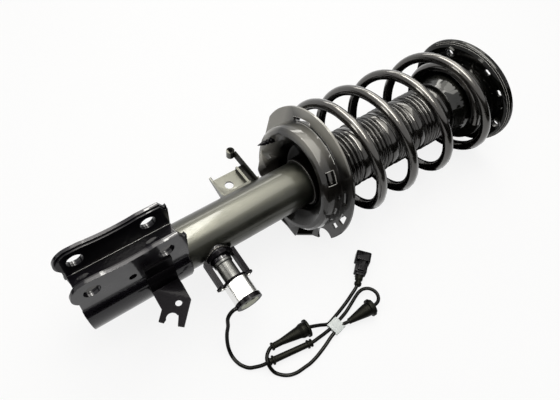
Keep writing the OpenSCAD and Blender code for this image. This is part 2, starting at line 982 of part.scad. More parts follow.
GROUPS = 4;
FOLDED = 0.66;
folds_start = boot_start + 6;
group_pitch = (upper_seat_z - CUP_LEN - 3 - folds_start) / GROUPS;

function boot_group(start, wall) = concat(
  fold_group(start, group_pitch * FOLDED, folds, wall),
  [[boot_r - fold_depth - wall, start + group_pitch * FOLDED],
    [boot_r - 0.5 - wall, start + group_pitch * (FOLDED + 0.09)],
    [boot_r - 0.5 - wall, start + group_pitch * 0.93]]
);

function boot_side(wall) = concat(
  [[boot_cuff_r - wall, boot_start - 8], [boot_cuff_r - wall, boot_start], [boot_r - fold_depth - wall, boot_start + 4]],
  [for (g = [0:GROUPS - 1]) each boot_group(folds_start + g * group_pitch, wall)],
  [[boot_r - SEAT_SHEET - SLIP - wall, folds_start + GROUPS * group_pitch],
    [boot_r - SEAT_SHEET - SLIP - wall, boot_top]]
);

module dust_boot() {
  outer = boot_side(0);
  inner = boot_side(BOOT_WALL);
  color(RUBBER)
    on_strut()
      rotate_extrude($fn = FINE)
        polygon(concat(outer, [for (i = [len(inner) - 1:-1:0]) inner[i]]));
}

race_base = upper_seat_z + SEAT_SHEET;
RACE_T = 2;
RACE_HALF = 4.5;
GROOVE = 0.8;
ball_z = race_base + RACE_T - GROOVE + ball_r;
upper_race_base = ball_z + ball_r - GROOVE + 0.15;

module race(from, groove_z) {
  difference() {
    ring(from, from + RACE_T, ball_circle_r + RACE_HALF, ball_circle_r - RACE_HALF);
    translate([0, 0, groove_z])
      rotate_extrude($fn = FINE)
        translate([ball_circle_r, 0])
          circle(r = ball_r + 0.12, $fn = SMALL);
  }
}

module bearing_lower_race() {
  color(STEEL)
    on_strut()
      race(race_base, ball_z);
}

module bearing_balls() {
  color(STEEL)
    on_strut()
      for (i = [0:ball_count - 1])
        rotate([0, 0, 360 * i / ball_count])
          translate([ball_circle_r, 0, ball_z])
            sphere(r = ball_r, $fn = 16);
}

module bearing_upper_race() {
  color(STEEL)
    on_strut()
      race(upper_race_base, ball_z);
}

// ---- top mount ----
dome_base = upper_race_base + RACE_T;
RUBBER_R = 36;
SLEEVE_R = 13;
STUD_R = 7;
rubber_base = mount_x - 8;
rubber_top = dome_base + plate_t + 14;
NUT_ANGLE = 61;
NUT_H = 4;
dome_r = ball_circle_r + RACE_HALF + 1 + plate_t;
ROLL = 3;
// Height at which the rim has its full radius
RIM_WIDE = 7;
// The plate's middle stands so that its rim lies on the same surface as the spring seat
plate_mid = plate_r * cos(plate_tilt_up) - RIM_WIDE * sin(plate_tilt_up) - rest_h;

// The tilted plate's frame: z square to the plate, from the middle of its near face
module on_plate() {
  translate([0, plate_mid, mount_x])
    rotate([-plate_tilt_up, plate_tilt_side, 0])
      children();
}

module plate_holes(from, height) {
  for (a = [0, 120, 240])
    rotate([0, 0, NUT_ANGLE + a])
      translate([nut_circle_r, 0, from])
        cylinder(h = height, r = nut_hole_r, $fn = MEDIUM);
}

module top_plate() {
  t = plate_t;
  color(BLACK)
    on_strut() {
      difference() {
        on_plate()
          rotate_extrude($fn = 2 * FINE)
            polygon([
              [0, 0],
              [plate_r - 2 * ROLL, 0],
              [plate_r - 1, RIM_WIDE - 2.5],
              [plate_r, RIM_WIDE],
              [plate_r, rim_h],
              [plate_r - ROLL - 1.5, rim_h],
              [plate_r - ROLL - 1.5, rim_h - 3],
              [plate_r - t, rim_h - 3],
              [plate_r - t, RIM_WIDE],
              [plate_r - t - 1, RIM_WIDE - 1.5],
              [plate_r - 2 * ROLL - 1, t],
              [0, t]
            ]);
        cylinder(h = 2 * mount_x, r = dome_r, $fn = FINE);
        on_plate() {
          plate_holes(-PAST, t + 2 * PAST);
          // oval holes and a small hole between the nuts
          for (a = [112, 139])
            rotate([0, 0, a])
              for (s = [-1.5, 1.5])
                translate([nut_circle_r + 1.5, s, -PAST])
                  cylinder(h = t + 2 * PAST, r = 3, $fn = MEDIUM);
          rotate([0, 0, 158])
            translate([nut_circle_r + 1.5, 0, -PAST])
              cylinder(h = t + 2 * PAST, r = 1.6, $fn = MEDIUM);
        }
      }
      // the wall between the tilted plate and the level dome
      difference() {
        ring(mount_x - 16, mount_x + 22, dome_r + LAP, dome_r - t);
        intersection() {
          cylinder(h = dome_base, r = dome_r + PAST, $fn = FINE);
          on_plate()
            translate([0, 0, -100])
              cylinder(h = 100, r = 2 * dome_r, $fn = FINE);
        }
        intersection() {
          translate([0, 0, dome_base + t])
            cylinder(h = 100, r = dome_r + PAST, $fn = FINE);
          on_plate()
            translate([0, 0, t])
              cylinder(h = 100, r = 2 * dome_r, $fn = FINE);
        }
      }
      rotate_extrude($fn = FINE)
        polygon([
          [RUBBER_R, dome_base],
          [dome_r - t + LAP, dome_base],
          [dome_r - t + LAP, dome_base + t],
          [RUBBER_R + t, dome_base + t],
          [RUBBER_R + t, rubber_top],
          [RUBBER_R, rubber_top]
        ]);
    }
}

module weld_nuts() {
  color(STEEL)
    on_strut()
      difference() {
        on_plate()
          difference() {
            for (a = [0, 120, 240])
              rotate([0, 0, NUT_ANGLE + a])
                translate([nut_circle_r, 0, -NUT_H])
                  cylinder(h = NUT_H, r = nut_hole_r + 2.6, $fn = 6);
            plate_holes(-NUT_H - PAST, NUT_H + 2 * PAST);
          }
        cylinder(h = 2 * mount_x, r = dome_r + LAP + SLIP, $fn = FINE);
      }
}

module mount_rubber() {
  color(RUBBER)
    on_strut()
      rotate_extrude($fn = FINE)
        polygon([
          [SLEEVE_R, rubber_base + 2],
          [SLEEVE_R + 4, rubber_base],
          [RUBBER_R - 4, rubber_base + 1],
          [RUBBER_R, dome_base],
          [RUBBER_R, rubber_top - 3],
          [RUBBER_R - 4, rubber_top - 5],
          [SLEEVE_R + 6, rubber_top - 4],
          [SLEEVE_R, rubber_top - 1]
        ]);
}

sleeve_base = rubber_base - 2;
sleeve_top = rubber_top + 1;

module mount_sleeve() {
  color(STEEL)
    on_strut()
      ring(sleeve_base, sleeve_top, SLEEVE_R, STUD_R + SLIP);
}

WASHER_T = 3;
CUP_T = 2;
STOP_R = 23;
STOP_LEN = 58;
stop_top = sleeve_base - WASHER_T - CUP_T;

module bump_stop_cup() {
  color(BLACK)
    on_strut()
      rotate_extrude($fn = FINE)
        polygon([
          [rod_r + SLIP, stop_top],
          [STOP_R + SLIP, stop_top],
          [STOP_R + SLIP, stop_top - 14],
          [STOP_R + SLIP + CUP_T, stop_top - 14],
          [STOP_R + SLIP + CUP_T, stop_top + CUP_T],
          [rod_r + SLIP, stop_top + CUP_T]
        ]);
}

module bump_stop() {
  base = stop_top - STOP_LEN;
  color(RUBBER)
    on_strut()
      rotate_extrude($fn = FINE)
        polygon([
          [rod_r + SLIP, base],
          [STOP_R - 7, base],
          [STOP_R - 4, base + 7],
          [STOP_R - 9, base + 14],
          [STOP_R - 3, base + 24],
          [STOP_R - 9, base + 33],
          [STOP_R - 2, base + 43],
          [STOP_R, stop_top - 12],
          [STOP_R, stop_top],
          [rod_r + SLIP, stop_top]
        ]);
}

PISTON_T = 16;
STOP_RING_T = 12;
piston_face = guide_base - GUIDE_SPIGOT - SEAT_GAP - 44;
piston_base = piston_face - PISTON_T;
rod_shoulder = sleeve_base - WASHER_T;
rod_top = sleeve_top + WASHER_T + 18;

module piston_rod() {
  color(STEEL)
    on_strut()
      rotate_extrude($fn = FINE)
        polygon([
          [0, piston_base - 10],
          [STUD_R, piston_base - 10],
          [STUD_R, piston_face],
          [rod_r, piston_face],
          [rod_r, rod_shoulder],
          [STUD_R, rod_shoulder],
          [STUD_R, rod_top - 1],
          [STUD_R - 1, rod_top],
          [0, rod_top]
        ]);
}

module rebound_stop() {
  top = guide_base - GUIDE_SPIGOT - SEAT_GAP;
  color(RUBBER)
    on_strut()
      ring(top - STOP_RING_T, top, rod_r + 4, rod_r);
}

module piston() {
  bore = pressure_r - inner_wall;
  color(STEEL)
    on_strut()
      rotate_extrude($fn = FINE)
        polygon([
          [STUD_R, piston_base],
          [bore - 1, piston_base],
          [bore - 0.4, piston_base + 1],
          [bore - 0.4, piston_base + 3],
          [bore - 1.2, piston_base + 3],
          [bore - 1.2, piston_face - 3],
          [bore - 0.4, piston_face - 3],
          [bore - 0.4, piston_face],
          [STUD_R, piston_face]
        ]);
}

module piston_band() {
  bore = pressure_r - inner_wall;
  color(RUBBER)
    on_strut()
      ring(piston_base + 3, piston_face - 3, bore - run_gap, bore - 1.2);
}

module piston_nut() {
  color(STEEL)
    on_strut()
      difference() {
        translate([0, 0, piston_base - 8])
          cylinder(h = 8, r = STUD_R + 4.5, $fn = 6);
        translate([0, 0, piston_base - 8 - PAST])
          cylinder(h = 8 + 2 * PAST, r = STUD_R, $fn = MEDIUM);
      }
}

module sleeve_washers() {
  color(STEEL)
    on_strut() {
      ring(rod_shoulder, sleeve_base, SLEEVE_R + 6, STUD_R + SLIP);
      ring(sleeve_top, sleeve_top + WASHER_T, SLEEVE_R + 9, STUD_R + SLIP);
    }
}

module rod_nut() {
  color(STEEL)
    on_strut()
      difference() {
        union() {
          ring(sleeve_top + WASHER_T, sleeve_top + WASHER_T + 2, 12.5);
          translate([0, 0, sleeve_top + WASHER_T + 1])
            cylinder(h = 12, r = 12, $fn = 6);
        }
        translate([0, 0, sleeve_top])
          cylinder(h = 30, r = STUD_R, $fn = MEDIUM);
      }
}

// ---- cable and what is on it ----
// The surface that the strut lies on, and the cable's height on it
floor_z = -bolt_offset - rest_h;
lie_z = floor_z + cable_r + 0.1;
gland_s = cap_s + CAP_H / 2;
gland_tip = [
  valve_x - cap_r - GLAND_OUT,
  -gland_s * cos(valve_drop),
  -bolt_offset - gland_s * sin(valve_drop)
];

// Route, hand placed. The first points count from the gland of the valve's cap, the
// others are [x, y, height over the lying cable].
FROM_GLAND = [
  [0, 0, 0], [-2.2, 0, 0], [-5.1, -0.3, -0.9], [-7.7, -0.8, -2.9], [-9.6, -1.3, -5.9],
  [-10.7, -1.8, -9.6], [-11.2, -2.6, -14.5]
];
CABLE_ROUTE = [
  [101.7, -93.2, 36], [99.2, -95.2, 26], [97.2, -98.2, 17.2], [95.7, -102.1, 9.3], [94.8, -106.8, 3.6], [94.5, -113, 0.5],
  [95.2, -119.8, 0], [97.6, -126.8, 0], [102.5, -133.5, 0.5], [108.5, -137, 1.5], [115.5, -140, 3], [123.5, -141.5, 4],
  [136.5, -143.8, 4], [149.5, -146, 4], [162.5, -148.3, 4], [175.5, -150.5, 4], [184, -150.5, 4], [194.5, -150, 3],
  [206.5, -149, 3], [217.5, -147, 3], [230, -144, 3], [242, -139.5, 3.5], [252, -135.5, 4], [259.5, -133.2, 4.5],
  [266, -133.4, 5], [271.5, -136.5, 5.6], [274.6, -142, 6.3], [274.6, -148, 7.3], [271.5, -153.5, 8.2], [266, -156.7, 8.9],
  [257.5, -157, 9.2], [246.7, -156.3, 8], [235.8, -155.7, 6.8], [225, -155, 5.6], [217.5, -153.5, 3.5], [207.5, -155, 3],
  [198.5, -157, 2], [190, -160, 1], [180.5, -163, 0], [169, -166, 0], [158, -167.5, 0], [146.5, -167.5, 0],
  [136.5, -165.5, 0], [129, -161, 0], [123.5, -154.5, 0], [121, -148.5, 4], [120.5, -143, 9], [122.5, -138, 10],
  [127, -133.5, 9.5], [134, -130.5, 9], [145.6, -131.8, 9.1], [157.3, -133, 9.2], [168.9, -134.3, 9.3], [180.5, -135.5, 9.4],
  [187.5, -137.5, 8], [195.5, -140, 5], [201.5, -142.5, 3.2], [206, -143.5, 3], [216.5, -141, 3], [229.5, -137.5, 3],
  [241, -134, 3.5], [252, -130, 4], [259, -127.5, 5], [265.5, -124, 5.5]
];
cable_path = concat(
  [for (p = FROM_GLAND) gland_tip + p],
  [for (p = CABLE_ROUTE) [p[0], p[1], lie_z + p[2]]]
);
ROUTE_AT = len(FROM_GLAND);

echo(cable_length = len_of(cable_path));
echo(least_gap_of_cable = path_gap(cable_path, 5, cable_r));

function len_of(path) = sum_of([for (i = [1:len(path) - 1]) norm(path[i] - path[i - 1])]);
function sum_of(v, i = 0) = i == len(v) ? 0 : v[i] + sum_of(v, i + 1);
function route_point(i) = cable_path[ROUTE_AT + i];

module valve_cable() {
  color(RUBBER)
    tube_along(cable_path, cable_r, 8);
}

// Puts z along the line from one point to another
module along(a, b) {
  d = b - a;
  translate(a)
    rotate([0, acos(d[2] / norm(d)), atan2(d[1], d[0])])
      children();
}

module cable_sleeve() {
  a = route_point(11);
  b = route_point(15);
  l = norm(b - a);
  color(RUBBER)
    along(a, b)
      rotate_extrude($fn = SMALL)
        polygon([
          [0, 0], [4.4, 0], [4.4, 2], [3.4, 2], [3.4, 4], [5.4, 4], [5.4, 6], [3.8, 6],
          [3.4, l - 6], [5, l - 6], [5, l - 4], [3.6, l - 4], [3.6, l - 2], [4.6, l - 2], [4.6, l], [0, l]
        ]);
}

module cable_grommet() {
  a = route_point(49);
  b = route_point(53);
  l = norm(b - a);
  color(RUBBER)
    along(a, b)
      rotate_extrude($fn = SMALL)
        polygon([
          [0, 0], [4.6, 0], [4.6, 2], [3.4, 3], [3.8, 18], [7, l - 12], [8.6, l - 8], [8.6, l - 5],
          [7.6, l - 5], [7.6, l - 3], [10.4, l - 3], [10.4, l], [0, l]
        ]);
}

module cable_boot() {
  a = route_point(33);
  b = route_point(30);
  l = norm(b - a);
  color(RUBBER)
    along(a, b)
      rotate_extrude($fn = SMALL)
        polygon([
          [0, 0], [3.4, 0], [4, 6], [8, l - 8], [8, l - 4], [10.4, l - 4], [10.4, l],
          [8.6, l], [8.6, l + 2], [0, l + 2]
        ]);
}

module cable_tape() {
  a = [205.5, -150.4, lie_z + 3];
  b = [217.5, -148.2, lie_z + 3];
  color(WHITE)
    along(a, b)
      linear_extrude(norm(b - a)) {
        square([2 * TAPE_H, TAPE_SPAN], center = true);
        for (y = [-TAPE_SPAN / 2, TAPE_SPAN / 2])
          translate([0, y])
            circle(r = TAPE_H, $fn = SMALL);
      }
}

TAPE_H = 3;
TAPE_SPAN = 11.4;

// The strain relief where the lead meets the connector
plug_a = route_point(len(CABLE_ROUTE) - 1);
PLUG_TURN = 40;

module on_plug() {
  translate(plug_a)
    rotate([0, 0, PLUG_TURN])
      children();
}

RELIEF_L = 9;
PLUG_HALF = 7.3;
BODY_L = 19;
COLLAR_L = 12;

module cable_clip() {
  color(RUBBER)
    on_plug()
      rotate([0, 90, 0])
        rotate_extrude($fn = SMALL)
          polygon([
            [0, -4], [3.4, -4], [4.4, -2], [4.4, 0.5], [3.2, 1.5], [3.2, 3], [4.6, 5], [5, RELIEF_L], [0, RELIEF_L]
          ]);
}

module connector_body() {
  color(DARK)
    on_plug()
      translate([RELIEF_L, -PLUG_HALF, -6])
        difference() {
          union() {
            cube([BODY_L, 2 * PLUG_HALF, 12]);
            translate([4, 3, 12 - LAP])
              cube([BODY_L - 4, 2 * PLUG_HALF - 6, 2.4]);
          }
          // the entry narrows in a notch
          for (y = [-2, 2 * PLUG_HALF - 2])
            translate([-PAST, y, -PAST])
              cube([5 + PAST, 4, 20]);
        }
}

module connector_collar() {
  wall = 1.6;
  half = PLUG_HALF + 2;
  color(DARK)
    on_plug()
      translate([RELIEF_L + BODY_L, -half, -7])
        difference() {
          cube([COLLAR_L, 2 * half, 16]);
          translate([4, wall, wall])
            cube([COLLAR_L, 2 * half - 2 * wall, 16 - 2 * wall]);
        }
}

strut_tube();
base_cap();
base_valve();
reservoir_tube();
pressure_tube();
rod_guide();
rod_seal();
knuckle_bracket();
bracket_channel();
hose_bracket();
sensor_bracket();
valve_boss();
valve_body();
valve_guard();
valve_flange();
guard_screws();
valve_can();
valve_cap();
valve_end_disc();
lower_spring_seat();
lower_spring_pad();
pad_push_pin();
coil_spring();
upper_spring_seat();
upper_spring_pad();
dust_boot();
bearing_lower_race();
bearing_balls();
bearing_upper_race();
top_plate();
weld_nuts();
mount_rubber();
mount_sleeve();
bump_stop_cup();
bump_stop();
piston_rod();
rebound_stop();
piston();
piston_band();
piston_nut();
sleeve_washers();
rod_nut();
valve_cable();
cable_sleeve();
cable_grommet();
cable_boot();
cable_tape();
cable_clip();
connector_body();
connector_collar();
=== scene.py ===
# %% [markdown]
# # A front suspension strut
#
# A strut is a damper, a coil spring and a top mount in one unit. This lesson dresses a
# strut that lies on its side: black gloss paint on pressed steel, a rubber boot with
# folds, a steel spring, a bright valve can and a thin lead with its rubber parts. The
# exact solids come from a CAD model and stay where they are. Blender adds the forms
# that are soft or rounded, the rolled edges, the weld seams and the finishes.

import json
import math

import bmesh
import bpy
from mathutils import Matrix, Vector, noise


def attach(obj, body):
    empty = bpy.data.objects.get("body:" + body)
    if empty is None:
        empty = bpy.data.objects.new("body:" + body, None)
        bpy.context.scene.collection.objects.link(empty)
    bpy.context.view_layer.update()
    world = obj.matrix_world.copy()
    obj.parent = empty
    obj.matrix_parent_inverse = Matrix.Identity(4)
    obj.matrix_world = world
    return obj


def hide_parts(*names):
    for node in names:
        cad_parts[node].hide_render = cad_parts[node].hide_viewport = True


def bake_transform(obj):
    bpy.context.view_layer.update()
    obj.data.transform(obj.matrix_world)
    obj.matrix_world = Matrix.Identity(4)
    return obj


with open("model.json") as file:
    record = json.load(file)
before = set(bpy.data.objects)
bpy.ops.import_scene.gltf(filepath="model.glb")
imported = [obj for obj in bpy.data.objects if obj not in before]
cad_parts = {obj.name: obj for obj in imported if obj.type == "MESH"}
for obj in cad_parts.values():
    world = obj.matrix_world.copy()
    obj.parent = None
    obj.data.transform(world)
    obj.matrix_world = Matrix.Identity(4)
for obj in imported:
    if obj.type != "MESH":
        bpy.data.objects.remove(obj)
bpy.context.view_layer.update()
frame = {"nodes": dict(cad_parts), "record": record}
nodes = frame["nodes"]
body_of_node = {n: b for b, ns in frame["record"]["behaviour"]["bodies"].items() for n in ns}

# %% [markdown]
# ## The camera
#
# The strut is seen from above and from its near side, with the top mount away from the
# viewer. A camera can be turned by angles, but three directions are easier to read: its
# right, its up and the way back from what it looks at.

# %% Camera
MM = 0.001
EYE = Vector((-0.0130, -0.2744, 0.4731))
RIGHT = Vector((0.8099, -0.5815, 0.0767))
UP = Vector((0.4470, 0.6966, 0.5612))
BACK = RIGHT.cross(UP)

camera_data = bpy.data.cameras.new("camera")
camera_data.sensor_width = 36
camera_data.lens = 35.04
camera_data.clip_start = 0.01
camera = bpy.data.objects.new("camera", camera_data)
bpy.context.scene.collection.objects.link(camera)
turn = Matrix((RIGHT, BACK.cross(RIGHT), BACK)).transposed().to_4x4()
camera.matrix_world = Matrix.Translation(EYE) @ turn
bpy.context.scene.camera = camera
print("camera looks along", tuple(round(-x, 2) for x in BACK))

# %% [markdown]
# ## The places on the strut
#
# Most pieces are turned shapes, so it helps to draw them in a frame whose z axis is
# their own axis. These matrices carry such a shape to the strut's axis, to the tilted
# spring seat and to the tilted top plate. The sizes are those of the solids, and lengths
# are in millimetres where they are multiplied by MM.

# %% Frames of the strut
FLOOR_Z = -0.120
AXIS_Z = -0.050
on_strut = Matrix.Translation((0, 0, AXIS_Z)) @ Matrix(
    ((0, 0, 1, 0), (1, 0, 0, 0), (0, 1, 0, 0), (0, 0, 0, 1))
)
# The seat's flange: distance along the strut, tilt, and how far its middle is off the axis
SEAT_X, SEAT_TILT = 272.5, 8.3
SEAT_SIDE, SEAT_RISE = 5.8, 2.7
on_seat = (
    on_strut
    @ Matrix.Translation((0, 0, SEAT_X * MM))
    @ Matrix.Rotation(math.radians(SEAT_TILT), 4, "X")
    @ Matrix.Translation((SEAT_SIDE * MM, SEAT_RISE * MM, 0))
)
# The top plate: distance, tilts and radius, and its rim's depth in front of the plate
PLATE_X, PLATE_UP, PLATE_SIDE, PLATE_R = 536, 5.8, 6.5, 76.2
RIM_FRONT = 7
# Height of the strut's axis over the floor
REST_H = 70
lean = math.radians(PLATE_UP)
plate_mid = PLATE_R * math.cos(lean) - RIM_FRONT * math.sin(lean) - REST_H
on_plate = (
    on_strut
    @ Matrix.Translation((0, plate_mid * MM, PLATE_X * MM))
    @ Matrix.Rotation(math.radians(PLATE_SIDE), 4, "Y")
    @ Matrix.Rotation(math.radians(-PLATE_UP), 4, "X")
)
# The valve: distance along the strut, and degrees that it points below the bolts
VALVE_X, VALVE_DROP = 130, 6
print("the seat's middle lies at", tuple(round(v, 4) for v in on_seat.translation))

# %% [markdown]
# ## Helpers for the pieces
#
# Three helpers make nearly everything. One turns a drawn profile round an axis with the
# spin operator. One sweeps a round section along points with a curve, for wire, cable
# and weld seams. One takes a pressed or machined solid and rounds its edges, because a
# bent sheet never has a knife edge, and it is the edge that catches the light.

# %% Helper: turn a bmesh into a piece
def piece_from(name, bm, body, material, at=None, sharp=35):
    """Makes the finished object: its place goes into the mesh, its normals point out."""
    if at is not None:
        bmesh.ops.transform(bm, matrix=at, verts=bm.verts)
    bmesh.ops.recalc_face_normals(bm, faces=bm.faces)
    mesh = bpy.data.meshes.new(name)
    bm.to_mesh(mesh)
    bm.free()
    return mesh_piece(name, mesh, body, material, sharp)


def mesh_piece(name, mesh, body, material, sharp=35):
    """Puts a mesh in the scene with its finish, and lets it ride on its body."""
    mesh.materials.clear()
    mesh.materials.append(material)
    mesh.shade_smooth()
    mesh.set_sharp_from_angle(angle=math.radians(sharp))
    piece = bpy.data.objects.new(name, mesh)
    bpy.context.scene.collection.objects.link(piece)
    if body:
        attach(piece, body)
    print(name, len(mesh.polygons), "faces")
    return piece


# %% Helper: turned shapes
def spun(profile, steps=96, closed=False):
    """Spins a profile of (radius, height) points in millimetres about the z axis."""
    bm = bmesh.new()
    verts = [bm.verts.new((r * MM, 0, z * MM)) for r, z in profile]
    edges = [bm.edges.new(pair) for pair in zip(verts, verts[1:])]
    if closed:
        edges.append(bm.edges.new((verts[-1], verts[0])))
    bmesh.ops.spin(
        bm, geom=verts + edges, cent=(0, 0, 0), axis=(0, 0, 1), dvec=(0, 0, 0),
        angle=2 * math.pi, steps=steps, use_merge=True, use_duplicate=False,
    )
    bmesh.ops.remove_doubles(bm, verts=bm.verts, dist=1e-6)
    return bm


def rounded(points, radius, steps=4):
    """Replaces each corner of a profile by a short curve that starts radius before it."""
    out = [Vector(points[0])]
    for before, corner, after in zip(points, points[1:], points[2:]):
        p, q, s = Vector(before), Vector(corner), Vector(after)
        reach = min(radius, (p - q).length * 0.45, (s - q).length * 0.45)
        if reach < 0.05:
            out.append(q)
            continue
        a, b = q + (p - q).normalized() * reach, q + (s - q).normalized() * reach
        for i in range(steps + 1):
            t = i / steps
            out.append((1 - t) ** 2 * a + 2 * t * (1 - t) * q + t * t * b)
    out.append(Vector(points[-1]))
    return [tuple(p) for p in out]


# %% Helper: a round section along points
def swept(name, points, radius, sides=3, swell=None):
    """A mesh tube along points in metres; swell gives the section's scale at each point."""
    curve = bpy.data.curves.new(name, "CURVE")
    curve.dimensions = "3D"
    curve.bevel_depth = radius
    curve.bevel_resolution = sides
    curve.use_fill_caps = True
    line = curve.splines.new("POLY")
    line.points.add(len(points) - 1)
    for i, p in enumerate(points):
        line.points[i].co = (*p, 1)
        line.points[i].radius = swell[i] if swell else 1
    holder = bpy.data.objects.new(name + "_line", curve)
    bpy.context.scene.collection.objects.link(holder)
    bpy.context.view_layer.update()
    mesh = bpy.data.meshes.new_from_object(holder)
    bpy.data.objects.remove(holder)
    bm = bmesh.new()
    bm.from_mesh(mesh)
    bmesh.ops.remove_doubles(bm, verts=bm.verts, dist=1e-6)
    bmesh.ops.recalc_face_normals(bm, faces=bm.faces)
    bm.to_mesh(mesh)
    bm.free()
    return mesh


def through(points, steps):
    """Points on a smooth curve through the given ones."""
    out = []
    for i in range(len(points) - 1):
        a = points[max(i - 1, 0)]
        b, c = points[i], points[i + 1]
        d = points[min(i + 2, len(points) - 1)]
        for k in range(steps):
            t = k / steps
            out.append(0.5 * (
                2 * b + (c - a) * t + (2 * a - 5 * b + 4 * c - d) * t ** 2
                + (3 * b - 3 * c + d - a) * t ** 3
            ))
    return out + [points[-1]]


def line_length(points):
    """Length of a line through points, in the points' unit."""
    return sum((b - a).length for a, b in zip(points, points[1:]))


# %% Helper: round the edges of a solid
def edged(node, material, width=0.5, segments=2, angle=32):
    """A copy of a solid whose loose triangles are merged and whose edges are rounded."""
    bm = bmesh.new()
    bm.from_mesh(nodes[node].data)
    bmesh.ops.remove_doubles(bm, verts=bm.verts, dist=2e-6)
    bmesh.ops.dissolve_limit(bm, angle_limit=math.radians(0.4), verts=bm.verts, edges=bm.edges)
    mesh = bpy.data.meshes.new(node + "_edged")
    bm.to_mesh(mesh)
    bm.free()
    piece = mesh_piece(node + "_edged", mesh, body_of_node[node], material, angle)
    bevel = piece.modifiers.new("edges", "BEVEL")
    bevel.width = width * MM
    bevel.segments = segments
    bevel.limit_method = "ANGLE"
    bevel.angle_limit = math.radians(angle)
    bevel.harden_normals = True
    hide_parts(node)
    return piece


# %% [markdown]
# ## Finishes
#
# The strut is nearly all one colour, so the finishes have to differ in how they shine.
# Gloss paint is a dark base under a clear coat, with a fine ripple that breaks up long
# reflections. Rubber is softer and wider in its shine, and chrome and plated steel are
# metals. Small changes of roughness keep each from looking like plastic.

# %% Helpers for node trees
def worked(tree, operation, first, second):
    """A value from two others: a socket is linked, and a number is written in."""
    node = tree.nodes.new("ShaderNodeMath")
    node.operation = operation
    for slot, value in zip(node.inputs, (first, second)):
        if isinstance(value, bpy.types.NodeSocket):
            tree.links.new(value, slot)
        else:
            slot.default_value = value
    return node.outputs["Value"]


def fade(tree, source, start, end, low=0.0, high=1.0, smooth=False):
    """A value that goes from low to high while the source goes from start to end."""
    node = tree.nodes.new("ShaderNodeMapRange")
    if smooth:
        node.interpolation_type = "SMOOTHSTEP"
    node.inputs["From Min"].default_value = start
    node.inputs["From Max"].default_value = end
    node.inputs["To Min"].default_value = low
    node.inputs["To Max"].default_value = high
    tree.links.new(source, node.inputs["Value"])
    return node.outputs["Result"]


def clouds(tree, where, scale, detail):
    """Soft noise of a given scale."""
    node = tree.nodes.new("ShaderNodeTexNoise")
    node.inputs["Scale"].default_value = scale
    node.inputs["Detail"].default_value = detail
    tree.links.new(where, node.inputs["Vector"])
    return node.outputs["Fac"]


# %% Helper: a finish
def finish(name, colour, rough, metal=0.0, coat=0.0, coat_rough=0.08, ripple=0.0, ripple_scale=400,
           tint=None, tint_scale=30, rough_spread=0.08, spec=0.5, shine=(1, 1, 1),
           stretch=(1, 1, 1)):
    """A procedural finish on Object coordinates: tint, roughness and bump from noise."""
    material = bpy.data.materials.new(name)
    material.use_nodes = True
    tree = material.node_tree
    shader = tree.nodes["Principled BSDF"]
    shader.inputs["Metallic"].default_value = metal
    shader.inputs["Coat Weight"].default_value = coat
    shader.inputs["Coat Roughness"].default_value = coat_rough
    shader.inputs["Specular IOR Level"].default_value = spec
    shader.inputs["Specular Tint"].default_value = (*shine, 1)
    where = tree.nodes.new("ShaderNodeTexCoord")
    place = tree.nodes.new("ShaderNodeMapping")
    place.inputs["Scale"].default_value = stretch
    tree.links.new(where.outputs["Object"], place.inputs["Vector"])

    ramp = tree.nodes.new("ShaderNodeValToRGB")
    ramp.color_ramp.elements[0].position = 0.35
    ramp.color_ramp.elements[1].position = 0.65
    ramp.color_ramp.elements[0].color = (*colour, 1)
    ramp.color_ramp.elements[1].color = (*(tint or colour), 1)
    tree.links.new(clouds(tree, place.outputs["Vector"], tint_scale, 4), ramp.inputs["Fac"])
    tree.links.new(ramp.outputs["Color"], shader.inputs["Base Color"])

    grain = clouds(tree, place.outputs["Vector"], 60, 5)
    smoothest = max(rough - rough_spread, 0.02)
    spread = fade(tree, grain, 0.3, 0.7, smoothest, rough + rough_spread)
    tree.links.new(spread, shader.inputs["Roughness"])

    if ripple:
        bump = tree.nodes.new("ShaderNodeBump")
        bump.inputs["Strength"].default_value = ripple
        bump.inputs["Distance"].default_value = 0.0004
        skin = clouds(tree, place.outputs["Vector"], ripple_scale, 2)
        tree.links.new(skin, bump.inputs["Height"])
        tree.links.new(bump.outputs["Normal"], shader.inputs["Normal"])
        if coat:
            tree.links.new(bump.outputs["Normal"], shader.inputs["Coat Normal"])
    return material


# %% Helpers: painted shade and highlight on the paint
def paint_seat_shade_and_highlight(material):
    """Takes the shine from the hollow round the tube as painted shade, and paints a pale highlight on
    the upper flange and the far side.
    """
    tree = material.node_tree
    shader = tree.nodes["Principled BSDF"]
    where = tree.nodes.new("ShaderNodeTexCoord").outputs["Object"]
    across = tree.nodes.new("ShaderNodeMapping")
    across.inputs["Location"].default_value = (0, 0, -AXIS_Z)
    across.inputs["Scale"].default_value = (0, 1, 1)
    tree.links.new(where, across.inputs["Vector"])
    distance = tree.nodes.new("ShaderNodeVectorMath")
    distance.operation = "LENGTH"
    tree.links.new(across.outputs["Vector"], distance.inputs[0])
    # Painted shade: less coat and shine in the hollow round the tube, where the seat lies in shade
    for socket, low, high in (("Coat Weight", 0.15, 0.9), ("Specular IOR Level", 0.02, 0.14)):
        amount = fade(tree, distance.outputs["Value"], 0.040, 0.054, low, high)
        tree.links.new(amount, shader.inputs[socket])

    # Painted highlight: a pale colour mixed into the base on the upper flange and the far side
    parts = tree.nodes.new("ShaderNodeSeparateXYZ")
    tree.links.new(where, parts.inputs["Vector"])
    high_up = fade(tree, parts.outputs["Z"], 0.006, 0.034, smooth=True)
    far_side = fade(tree, parts.outputs["Y"], 0.044, 0.062, 0.0, 0.8)
    painted_highlight = tree.nodes.new("ShaderNodeMix")
    painted_highlight.data_type = "RGBA"
    painted_highlight.inputs["B"].default_value = (0.30, 0.29, 0.26, 1)
    base = shader.inputs["Base Color"].links[0].from_socket
    tree.links.new(worked(tree, "MAXIMUM", high_up, far_side), painted_highlight.inputs["Factor"])
    tree.links.new(base, painted_highlight.inputs["A"])
    tree.links.new(painted_highlight.outputs["Result"], shader.inputs["Base Color"])


